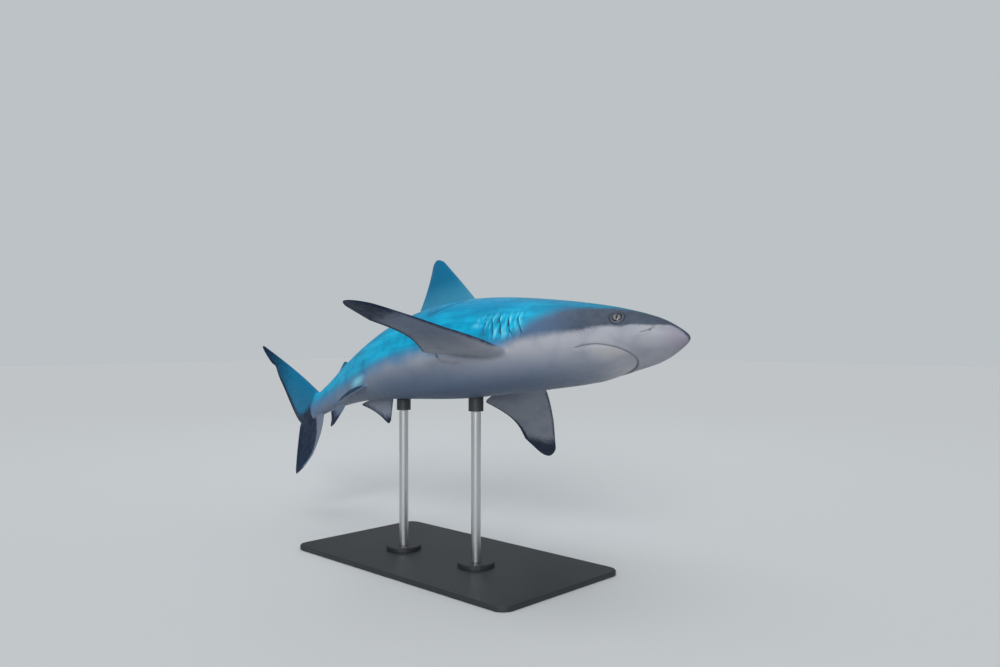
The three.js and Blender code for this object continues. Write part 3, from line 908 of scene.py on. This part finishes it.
# black tips and margins, + inside them; a field that is divided down gives a softer border
def finTip(name, fin, theta, out):
    share = clamp(out / fin["span"])
    ahead, gap = finGaps(fin, theta, share)
    tipGap = fin["span"] - out
    tip = tips[name]
    if "plain" in tip:
        return tip["plain"]
    if name == "pectoral":
        chord = clamp(gap / max(ahead + gap, 1))
        tipPart = (lerp(*tip["tip"], smooth(chord, 0.15, 0.75)) - tipGap) / tip["tipSoft"]
        edge = max(lerp(*tip["rear"], smooth(share, 0.2, 0.9)) - gap, tip["front"] + share - ahead)
        return max(tipPart, edge - tip["bare"] * (1 - smooth(share, 0.02, 0.14)))
    if name == "tailLower":
        band = (ahead - lerp(*tip["lead"], smooth(share, -0.1, 0.75))) / tip["leadSoft"]
        return min(band, tip["most"]) if tipGap > tip["tip"] else max(tip["tipDark"], band)
    # the pelvic fin's upper side: painted shade, all but thin light edges
    if name == "pelvic" and math.sin(theta) > 0:
        return min(max((tip["above"] - gap) / tip["aboveSoft"], 5), ahead - 4, gap - 2)
    rearPart = (lerp(*tip["rear"], share) - gap) / tip["rearSoft"]
    tipPart = (tip["tip"] - tipGap) / tip["tipSoft"]
    return max(rearPart, tipPart, tip["front"] - ahead if "front" in tip else tipPart)


def finTone(name, theta):
    if name in ("pectoral", "pelvic"):
        return 28 * clamp(4 * math.sin(theta), -1, 1)
    if name == "anal":
        return -14
    return 45


# how much painted blue water light a fin's upper side carries: its front is the greyer
def finBlueLight(name, theta, share):
    if name == "dorsalFirst":
        return lerp(60, 6, smooth(math.cos(theta), -0.2, 1) * (0.4 + 0.6 * share))
    return {"pelvic": -14, "pectoral": 4}.get(name, 60)


# painted shade on a fin's pale underside, as on the belly; the right pectoral's turns lighter towards
# its root
def finShade(name, side, share):
    if name == "pectoral" and side > 0:
        return lerp(0.05, 0.7, smooth(share, 0.02, 0.5))
    return {"pectoral": 0.35, "anal": 0.75}.get(name, 0.5)


def lobeTip(share, angle):
    crest, under = lobeEdges(share)
    gap = (crest - under).length * (1 + math.sin(angle)) / 2
    tip = tips["tailUpper"]
    band = (lerp(*tip["rear"], smooth(share, 0, 0.45)) - gap) / tip["rearSoft"]
    plain = lerp(*tip["plain"], smooth(share, 0.1, 0.6))
    dark = max(band, (share - tip["tip"]) * tip["tipDark"], plain)
    return lerp(-markings["far"], dark, smooth(share, -0.05, 0.1))


# ---- the skin ----

def makeSkin():
    bm = bmesh.new()
    layers = bm.verts.layers
    straight = layers.float_vector.new("straight")
    ray = layers.float_vector.new("ray")  # along a fin's rays, out, and how much they show
    # fields of colour: the dark back's edge, painted blue water light, painted shade, black tips, and
    # lines of painted shade and highlight
    tone, paintedBlueLight, shade = [layers.float.new(name) for name in ("tone", "paintedBlueLight", "shade")]
    tip, line = layers.float.new("tip"), layers.float.new("line")
    onFin = layers.int.new("onFin")

    def mark(v, values):
        v[tone], v[paintedBlueLight], v[shade], v[tip] = values
        v[onFin] = 1

    rings = makeTube(bm)
    for ring, share in zip(rings[len(bodyBacks()):], lobeShares()):
        rooted = smooth(share, 0, 0.25)
        for column, v in enumerate(ring):
            angle = columnAngle(column)
            mark(v, (lerp(bodyTone(v.co), 45, rooted), 60, lerp(bodyShade(v.co), 0.95, rooted),
                     lobeTip(share, angle)))
            v[ray] = Vector(((v.co.z - 0.9 * v.co.x) * mm, 0, smooth(share, 0.1, 0.4)))
    print("tube", len(bm.verts))
    grownFins = [
        ("dorsalFirst", middleAxes(fins["dorsalFirst"], 1), 1),
        ("dorsalSecond", middleAxes(fins["dorsalSecond"], 1), 1),
        ("anal", middleAxes(fins["anal"], -1), 1),
        ("pectoral", pectoralAxes(1), 1),
        ("pectoral", pectoralAxes(-1), -1),
        ("pelvic", pelvicAxes(1), 1),
        ("pelvic", pelvicAxes(-1), -1),
    ]
    for name, axes, side in grownFins:
        fin = fins[name]
        upward = 1 if axes[3].z >= 0 else -1
        for v, (theta, out) in bodyFin(bm, rings, fin, axes).items():
            share = clamp(out / fin["span"])
            rooted = smooth(out, 0, fin["span"] * 0.16)
            mark(v, (
                lerp(bodyTone(v.co), finTone(name, theta * upward), rooted),
                lerp(bodyBlueLight(v.co), finBlueLight(name, theta, share), rooted),
                lerp(bodyShade(v.co), finShade(name, side, share), rooted),
                lerp(-markings["far"], finTip(name, fin, theta * upward, out), smooth(out, -4, 10)),
            ))
            along = (v.co - axes[0]).dot(axes[1]) - 0.55 * out
            v[ray] = Vector((along * mm, out * mm, smooth(share, 0.05, 0.3)))
            if name == "dorsalFirst":
                v[line] = -markings["dorsalGleam"] * (1 - smooth(share, 0, 0.8)) * smooth(out, -6, 8)
        print("fin", name, len(bm.verts))
    fin = fins["tailLower"]
    for v, (theta, out) in growTailLower(bm, rings).items():
        share = clamp(out / fin["span"])
        rooted = smooth(out, -14, 12)
        ahead, _ = finGaps(fin, theta, share)
        lead = smooth(lerp(52, 12, smooth(share, -0.1, 0.75)) - ahead, -5, 5)
        mark(v, (lerp(45, -20, lead), 60, lerp(0.95, 0.7, lead),
                 lerp(-8, finTip("tailLower", fin, theta, out), rooted)))
        v[ray] = Vector(((v.co.x + 0.75 * v.co.z) * mm, out * mm, smooth(share, 0.1, 0.4)))
    refine(bm, onFin, (10, 5.5))
    print("refined", len(bm.verts))
    bm.normal_update()
    reliefs = []
    for v in bm.verts:
        v[straight] = v.co * mm
        relief, drawn = marksOf(v.co) if v.co.x < 640 else (0.0, 0.0)
        v[line] += drawn
        if not v[onFin]:
            v[tone], v[paintedBlueLight], v[shade], v[tip] = (
                bodyTone(v.co), bodyBlueLight(v.co), bodyShade(v.co), -markings["far"])
            reliefs.append((v, relief))
        v[tone] *= mm
        v[paintedBlueLight] *= mm
        v[tip] *= mm
    for v, depth in reliefs:
        v.co += v.normal * depth
    for v in bm.verts:
        v.co = carried(v.co)
    return bm


def meshObject(name, bm, material, smoothed=True):
    bmesh.ops.recalc_face_normals(bm, faces=bm.faces)
    bmesh.ops.triangulate(bm, faces=[f for f in bm.faces if len(f.verts) > 4])
    data = bpy.data.meshes.new(name)
    bm.to_mesh(data)
    bm.free()
    for face in data.polygons:
        face.use_smooth = smoothed
    data.materials.append(material)
    made = bpy.data.objects.new(name, data)
    bpy.context.scene.collection.objects.link(made)
    return made


# ---- materials ----

def hexColor(text):
    parts = [int(text[i:i + 2], 16) / 255 for i in (1, 3, 5)]
    return [c / 12.92 if c <= 0.04045 else ((c + 0.055) / 1.055) ** 2.4 for c in parts] + [1]


# adds a node and gives one of its outputs; an input that is a socket is linked, any other is set
def addNode(tree, kind, inputs, out=0, **settings):
    node = tree.nodes.new("ShaderNode" + kind)
    for key, value in settings.items():
        setattr(node, key, value)
    for key, value in inputs.items():
        if isinstance(value, bpy.types.NodeSocket):
            tree.links.new(value, node.inputs[key])
        else:
            node.inputs[key].default_value = value
    return node.outputs[out] if len(node.outputs) else node


# an empty material, and addNode for it
def newMaterial(name):
    material = bpy.data.materials.new(name)
    material.use_nodes = True
    material.node_tree.nodes.clear()
    return material, partial(addNode, material.node_tree)


# settings that many nodes share
eased = {"interpolation_type": "SMOOTHSTEP"}
colors = {"out": 2, "data_type": "RGBA"}

# wet shark skin: tiny tooth-like scales over colour, so satin with broad soft highlights
skinLook = {
    # pale and grey are the skin's own; belly is the pale under painted shade; haze, mist and the teals
    # are painted blue water light on the grey back, the brightest a painted highlight; cream and gleam
    # are painted highlights, and the crease colour is painted shade in grooves
    "pale": "#9b9da5", "creamHighlight": "#c6c0bd", "belly": "#4a5d76", "snout": "#857f8f",
    "grey": "#454f5e", "greyDeep": "#323c49", "haze": "#50698a", "mist": "#41749f",
    "teal": "#008ab6", "tealDeep": "#00547b", "tealBright": "#0fb6dc", "gleam": "#86e2f4",
    "dark": "#021b36", "paintedCreaseShade": "#2b2324",
    "noises": [(20, 3), (85, 3), (330, 2)],  # clouds, blotches and specks: to a metre, detail
    "streaks": 45,
    "streakStretch": (0.22, 1.0, 1.6),
    "edgeBlotch": 0.005, "tipBlotch": 0.006, "blueCloud": 0.02,
    "flankHighlightPlace": (0.866, 0.044, -0.054), "flankHighlightSize": (0.065, 0.05, 0.014),
    "ior": 1.4, "specular": 0.2, "scaleGrain": 1.1, "rayStep": 2.4,
}
# shares that follow one field of the skin: the field, from, to, and the values there (0 and 1
# where they aren't given); "back" and the skin's own fields are in metres
skinShares = {
    "LINEAR": {
        "wave": ("back", 0.25, 0.6, 0.008, 0.03), "soft": ("back", 0.1, 0.5, 0.0034, 0.021),
        # the painted blue water light's border softens further back, and streaks of painted highlight
        # run along the body
        "blueSoft": ("back", 0.2, 0.33, 0.01, 0.034), "streaky": ("streak", 0.36, 0.68, -0.28, 0.42),
        "light": ("line", -0.05, -0.9, 0, 0.85), "drawn": ("line", 0.04, 0.95, 0, 0.92),
    },
    "SMOOTHSTEP": {
        # the grey head: blotches, and how it turns to the blue-grey haze of the painted blue water
        # light behind the eye
        "blotched": ("blotch", 0.35, 0.75, 0, 0.4), "hazy": ("back", 0.18, 0.31, 0, 0.75),
        # the painted blue water light on the back: a painted highlight over its edge, less so higher
        # up, deeper in clouds, at head and tail
        "lit": ("tone", 0.0, 0.055, 0.22, 0.5), "fall": ("tone", 0.06, 0.13, 0, 0.55),
        "cloudDeep": ("cloud", 0.45, 0.7, 0, 0.35), "tailDeep": ("tip", -0.045, -0.012, 0, 0.85),
        "headDeep": ("back", 0.38, 0.2, 0, 0.6), "misty": ("tone", 0.004, 0.034, 0.85, 0),
        # the underside
        "greyBlueClouds": ("cloud", 0.4, 0.7, 0, 0.22), "nose": ("back", 0.005, 0.06, 0.8, 0),
        # scuffs behind the eye
        "nearEye": ("back", 0.25, 0.2), "behindEye": ("back", 0.14, 0.17),
        "dots": ("speck", 0.44, 0.78, 0, 0.6), "rough": ("blotch", 0.3, 0.7, 0.38, 0.52),
    },
}
# the same for what is worked out from more than one field
skinEdges = {
    "edge": (-1, 1), "nearEdge": (0.018, 0.004), "tip": (-0.005, 0.006, 0, 0.99),
    "flankHighlight": (1.0, 0.1, 0, 0.62),
}


# what a Map Range node takes
def span(values):
    return dict(zip((1, 2, 3, 4), values))


def skinMaterial():
    look = {k: hexColor(v) if isinstance(v, str) else v for k, v in skinLook.items()}
    edges = {k: span(v) for k, v in skinEdges.items()}
    material, add = newMaterial("wetSharkSkin")
    straight, ray = [add("Attribute", {}, "Vector", attribute_name=k) for k in ("straight", "ray")]
    tone, paintedBlueLight, shade, tip, line = [
        add("Attribute", {}, "Fac", attribute_name=k) for k in ("tone", "paintedBlueLight", "shade", "tip", "line")
    ]
    rays = add("SeparateXYZ", {0: ray}).node.outputs
    cloud, blotch, speck = [
        add("TexNoise", {"Vector": straight, "Scale": scale, "Detail": detail})
        for scale, detail in look["noises"]
    ]
    stretched = add("Mapping", {"Vector": straight, "Scale": look["streakStretch"]})
    streak = add("TexNoise", {"Vector": stretched, "Scale": look["streaks"], "Detail": 4,
                              "Roughness": 0.6})
    fields = {"back": add("SeparateXYZ", {0: straight}), "tone": tone, "tip": tip, "line": line,
              "cloud": cloud, "blotch": blotch, "speck": speck, "streak": streak}
    at = {}
    for kind, shares in skinShares.items():
        for name, (field, *values) in shares.items():
            at[name] = add("MapRange", {0: fields[field], **span(values)}, interpolation_type=kind)
    cloudShift, blotchShift = [
        add("Math", {0: pattern, 1: 0.5}, operation="SUBTRACT") for pattern in (cloud, blotch)
    ]

    # the dark back's lower edge: crisp and slightly uneven on the head, soft on the trunk
    edge = add("Math", {0: cloudShift, 1: at["wave"], 2: tone}, operation="MULTIPLY_ADD")
    edge = add("Math", {0: blotchShift, 1: look["edgeBlotch"], 2: edge}, operation="MULTIPLY_ADD")
    edge = add("Math", {0: edge, 1: at["soft"]}, operation="DIVIDE")
    above = add("MapRange", {0: edge, **edges["edge"]}, **eased)

    # the head's grey, then the painted blue water light behind it, with painted highlight streaks
    # along the body but not on the fins
    grey = look["grey"]
    for share, over in ((at["blotched"], "greyDeep"), (at["hazy"], "haze")):
        grey = add("Mix", {0: share, 6: grey, 7: look[over]}, **colors)
    lit = add("Math", {0: at["lit"], 1: at["fall"]}, operation="SUBTRACT")
    offFin = add("Math", {0: 1.0, 1: rays[2]}, operation="SUBTRACT")
    streaky = add("Math", {0: at["streaky"], 1: offFin}, operation="MULTIPLY")
    lit = add("Math", {0: lit, 1: streaky}, operation="ADD", use_clamp=True)
    deep = at["cloudDeep"]
    for name in ("tailDeep", "headDeep"):
        deep = add("Math", {0: deep, 1: at[name]}, operation="MAXIMUM")
    teal = look["teal"]
    for share, over in ((lit, "tealBright"), (deep, "tealDeep"), (at["misty"], "mist")):
        teal = add("Mix", {0: share, 6: teal, 7: look[over]}, **colors)
    blueEdge = add("Math", {0: cloudShift, 1: look["blueCloud"], 2: paintedBlueLight}, operation="MULTIPLY_ADD")
    blueEdge = add("Math", {0: blueEdge, 1: at["blueSoft"]}, operation="DIVIDE")
    blueLightShare = add("MapRange", {0: blueEdge, **edges["edge"]}, **eased)
    upper = add("Mix", {0: blueLightShare, 6: grey, 7: teal}, **colors)

    # the underside: pale, turned to a darker grey-blue by painted shade towards the belly's middle,
    # with clouds of that grey-blue, and pinkish at the snout
    under = look["pale"]
    for share, over in ((shade, "belly"), (at["greyBlueClouds"], "belly"), (at["nose"], "snout")):
        under = add("Mix", {0: share, 6: under, 7: look[over]}, **colors)

    # pores and scuffs that cross the edge behind the eye
    band = add("Math", {0: tone}, operation="ABSOLUTE")
    band = add("MapRange", {0: band, **edges["nearEdge"]}, **eased)
    scuffed = add("Math", {0: at["nearEye"], 1: at["behindEye"]}, operation="MULTIPLY")
    scuffed = add("Math", {0: scuffed, 1: band}, operation="MULTIPLY")
    dots = add("Math", {0: at["dots"], 1: scuffed}, operation="MULTIPLY")

    # tips and margins, and the painted highlights and painted shade lines of mouth, gill slits, lids
    # and folds
    tipEdge = add("Math", {0: blotchShift, 1: look["tipBlotch"], 2: tip}, operation="MULTIPLY_ADD")
    dark = add("MapRange", {0: tipEdge, **edges["tip"]}, **eased)
    # painted highlights: cream on the grey head, pale blue where the painted blue water light lies
    bluest = add("Math", {0: above, 1: blueLightShare}, operation="MULTIPLY")
    glint = add("Mix", {0: bluest, 6: look["creamHighlight"], 7: look["gleam"]}, **colors)

    # a painted highlight on the flank over the pelvic fin
    flankHighlight = add("VectorMath", {0: straight, 1: look["flankHighlightPlace"]}, operation="SUBTRACT")
    perSize = [1 / size for size in look["flankHighlightSize"]]
    flankHighlight = add("VectorMath", {0: flankHighlight, 1: perSize}, operation="MULTIPLY")
    flankHighlight = add("VectorMath", {0: flankHighlight}, "Value", operation="LENGTH")
    flankHighlight = add("MapRange", {0: flankHighlight, **edges["flankHighlight"]}, **eased)

    color = under
    for share, over in ((above, upper), (dots, look["greyDeep"]), (dark, look["dark"]),
                        (at["light"], glint), (at["drawn"], look["paintedCreaseShade"]), (flankHighlight, look["gleam"])):
        color = add("Mix", {0: share, 6: color, 7: over}, **colors)

    # scales are far finer than a pixel, so they are drawn at about 1 mm; fin rays stand 2.4 mm apart
    grain = add("TexNoise", {
        "Vector": stretched, "Scale": 1 / (look["scaleGrain"] * mm), "Detail": 2})
    alongFin = add("CombineXYZ", {0: rays[0]})
    ribs = add("TexNoise", {"Vector": alongFin, "Scale": 1 / (look["rayStep"] * mm), "Detail": 1})
    ribs = add("Math", {0: ribs, 1: rays[2]}, operation="MULTIPLY")
    normal = add("Bump", {"Height": grain, "Strength": 0.18, "Distance": 0.0005})
    for height, strength, distance in ((ribs, 0.35, 0.0012), (streak, 0.3, 0.002)):
        normal = add("Bump", {
            "Height": height, "Strength": strength, "Distance": distance, "Normal": normal})
    add("OutputMaterial", {"Surface": add("BsdfPrincipled", {
        "Base Color": color, "Roughness": at["rough"], "Normal": normal, "IOR": look["ior"],
        "Specular IOR Level": look["specular"]})})
    return material


eyeLook = {
    "iris": "#5f6367", "irisPale": "#8b8b85", "irisBrowShade": "#3c434c", "rim": "#20242a",
    "pupil": "#07090c", "fibres": 700,
    # from, to, and the values there, in shares of the iris's radius or the pupil's half height
    "top": (-0.1, 0.9, 0, 0.8), "rimEdge": (0.86, 1.06, 0, 1), "pupilEdge": (0.85, 1.08, 0, 1),
}


# a clear, wet cornea over a grey iris, darker above with painted shade from the brow, with an upright
# slit
def eyeMaterial():
    look = {k: hexColor(v) if isinstance(v, str) else v for k, v in eyeLook.items()}
    material, add = newMaterial("wetEye")
    place = add("Attribute", {}, "Vector", attribute_name="eyePlace")
    part = add("SeparateXYZ", {0: place}).node.outputs
    flat = add("CombineXYZ", {0: part[0], 1: part[1]})
    away = add("VectorMath", {0: flat}, "Value", operation="LENGTH")
    leaning = add("VectorRotate", {"Vector": flat, "Angle": math.radians(eye["pupilLean"])},
                  rotation_type="Z_AXIS")
    squeezed = add("VectorMath", {0: leaning, 1: (eye["pupilTall"] / eye["pupilHalf"], 1, 1)},
                   operation="MULTIPLY")
    slit = add("VectorMath", {0: squeezed}, "Value", operation="LENGTH")
    edges = {}
    for name, field, size in (("top", part[1], "iris"), ("rimEdge", away, "iris"),
                              ("pupilEdge", slit, "pupilTall")):
        start, end, first, last = look[name]
        edges[name] = add("MapRange", {
            0: field, 1: start * eye[size] * mm, 2: end * eye[size] * mm, 3: first, 4: last}, **eased)
    fibre = add("TexNoise", {"Vector": place, "Scale": look["fibres"], "Detail": 3})
    fibre = add("MapRange", {0: fibre, 1: 0.35, 2: 0.7}, **eased)
    iris = add("Mix", {0: fibre, 6: look["iris"], 7: look["irisPale"]}, **colors)
    iris = add("Mix", {0: edges["top"], 6: iris, 7: look["irisBrowShade"]}, **colors)
    color = add("Mix", {0: edges["rimEdge"], 6: iris, 7: look["rim"]}, **colors)
    color = add("Mix", {0: edges["pupilEdge"], 6: look["pupil"], 7: color}, **colors)
    add("OutputMaterial", {"Surface": add("BsdfPrincipled", {
        "Base Color": color, "Roughness": 0.3, "IOR": 1.38, "Specular IOR Level": 0.25,
        "Coat Weight": 0.2, "Coat Roughness": 0.03})})
    return material


# `side` is 1 for the right eye; the ball's own z looks out of the head and its y is upright
def makeEye(side, material):
    centre, axis = eye["centre"], eye["axis"]
    forward = Vector((-1, 0, 0))
    forward = (forward - axis * forward.dot(axis)).normalized()
    tall = axis.cross(forward)
    if tall.z < 0:
        tall.negate()
    bm = bmesh.new()
    bmesh.ops.create_uvsphere(bm, u_segments=64, v_segments=40, radius=eye["ball"])
    layer = bm.verts.layers.float_vector.new("eyePlace")
    for v in bm.verts:
        v[layer] = (v.co + Vector((0, eye["irisDrop"], 0))) * mm
        spot = centre + forward * v.co.x + tall * v.co.y + axis * v.co.z
        v.co = carried(Vector((spot.x, side * spot.y, spot.z)))
    return meshObject("eyeRight" if side > 0 else "eyeLeft", bm, material)


standLook = {
    "paint": "#1f2225", "paintDust": "#2b2f33", "paintRough": 0.5, "peel": 1400, "dust": 9,
    "steel": "#c3c5c7", "steelRough": (0.22, 0.44), "lines": 2400, "lineStretch": (0.05, 0.05, 1),
}


# polyester powder coat on steel: black, with a fine orange-peel grain of about 0.7 mm
def paintMaterial():
    material, add = newMaterial("powderCoat")
    place = add("TexCoord", {}, "Object")
    grain = add("TexNoise", {"Vector": place, "Scale": standLook["peel"], "Detail": 2})
    normal = add("Bump", {"Height": grain, "Strength": 0.3, "Distance": 0.0004})
    dusty = add("TexNoise", {"Vector": place, "Scale": standLook["dust"], "Detail": 5})
    dusty = add("MapRange", {0: dusty, 1: 0.4, 2: 0.75, 3: 0, 4: 0.5})
    paint, dust = hexColor(standLook["paint"]), hexColor(standLook["paintDust"])
    color = add("Mix", {0: dusty, 6: paint, 7: dust}, **colors)
    add("OutputMaterial", {"Surface": add("BsdfPrincipled", {
        "Base Color": color, "Roughness": standLook["paintRough"], "Normal": normal})})
    return material


# stainless steel tube, brushed round its length in lines of about 0.4 mm
def steelMaterial():
    material, add = newMaterial("brushedSteel")
    place = add("TexCoord", {}, "Object")
    stretched = add("Mapping", {"Vector": place, "Scale": standLook["lineStretch"]})
    grain = add("TexNoise", {"Vector": stretched, "Scale": standLook["lines"], "Detail": 2})
    low, high = standLook["steelRough"]
    rough = add("MapRange", {0: grain, 3: low, 4: high})
    normal = add("Bump", {"Height": grain, "Strength": 0.15, "Distance": 0.0002})
    add("OutputMaterial", {"Surface": add("BsdfPrincipled", {
        "Base Color": hexColor(standLook["steel"]), "Metallic": 1.0, "Roughness": rough,
        "Normal": normal})})
    return material


# ---- pieces ----

skin = meshObject("skin", makeSkin(), skinMaterial())
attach(skin, "root")
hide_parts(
    "head", "lower_jaw", "gill_region", "trunk_front", "trunk_rear", "tail_stalk",
    "caudal_fin_upper", "caudal_fin_lower", "dorsal_fin_first", "dorsal_fin_second", "anal_fin",
    "pectoral_fin_right", "pectoral_fin_left", "pelvic_fin_right", "pelvic_fin_left",
)
print("skin", len(skin.data.vertices), "vertices")

eyeFinish = eyeMaterial()
for side, node in ((1, "eye_right"), (-1, "eye_left")):
    ball = makeEye(side, eyeFinish)
    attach(ball, "root")
    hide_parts(node)
print("eyes done")

paint, steel = paintMaterial(), steelMaterial()
for name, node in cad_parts.items():
    if name.startswith("stand_"):
        node.data.materials.clear()
        node.data.materials.append(steel if name.startswith("stand_rod") else paint)
print("stand done")

# ---- floor, light and camera ----

studio = {
    "floor": "#cfd2d4", "floorSize": 14.0, "sky": 0.36, "skyColor": "#e4e9ec", "wall": "#bcc2c5",
    # kind, place, target, strength, and the rest; a sun reaches all places alike, from a patch of
    # sky as wide as its angle
    "lamps": {
        "keyLight": ("SUN", (1.9, -2.4, 1.7), (0.1, 0, 0.5), 2.2, {"angle": math.radians(28)}),
        "topLight": ("SUN", (-0.2, -0.4, 3.4), (0, 0, 0.3), 1.0, {"angle": math.radians(60)}),
        "rimLight": ("AREA", (-1.8, 1.6, 2.4), (0, 0, 0.5), 6.0,
                     {"size": 1.6, "color": hexColor("#dff1ff")[:3]}),
    },
}


def makeFloor():
    bm = bmesh.new()
    bmesh.ops.create_grid(bm, x_segments=1, y_segments=1, size=studio["floorSize"])
    material, add = newMaterial("floorPaint")
    add("OutputMaterial", {"Surface": add("BsdfPrincipled", {
        "Base Color": hexColor(studio["floor"]), "Roughness": 0.8})})
    return meshObject("floor", bm, material, smoothed=False)


def makeLamp(name, kind, place, target, strength, settings):
    light = bpy.data.lights.new(name, kind)
    light.energy = strength
    for key, value in settings.items():
        setattr(light, key, value)
    lamp = bpy.data.objects.new(name, light)
    lamp.location = place
    lamp.rotation_euler = (Vector(target) - Vector(place)).to_track_quat("-Z", "Y").to_euler()
    bpy.context.scene.collection.objects.link(lamp)


floor = makeFloor()
for name, lamp in studio["lamps"].items():
    makeLamp(name, *lamp)
world = bpy.data.worlds.new("studioWorld")
world.use_nodes = True
world.node_tree.nodes.clear()
addToWorld = partial(addNode, world.node_tree)
sky = addToWorld("Background", {"Color": hexColor(studio["skyColor"]), "Strength": studio["sky"]})
wall = addToWorld("Background", {"Color": hexColor(studio["wall"])})  # seen, but gives no light
seen = addToWorld("LightPath", {}, "Is Camera Ray")
both = addToWorld("MixShader", {0: seen, 1: sky, 2: wall})
addToWorld("OutputWorld", {"Surface": both})
bpy.context.scene.world = world

# the camera is level; the view's turn is counted from the frame's +Y
view = {
    "place": (1.4835, -1.363, 0.538), "turn": 44, "lens": 30.6, "sensor": 36,
}
camera = bpy.data.cameras.new("camera")
camera.lens = view["lens"]
camera.sensor_width = view["sensor"]
cameraObject = bpy.data.objects.new("camera", camera)
cameraObject.location = view["place"]
cameraObject.rotation_euler = (math.pi / 2, 0, math.radians(view["turn"]))
bpy.context.scene.collection.objects.link(cameraObject)
bpy.context.scene.camera = cameraObject
bpy.context.scene.view_settings.view_transform = "Standard"
print("studio done")
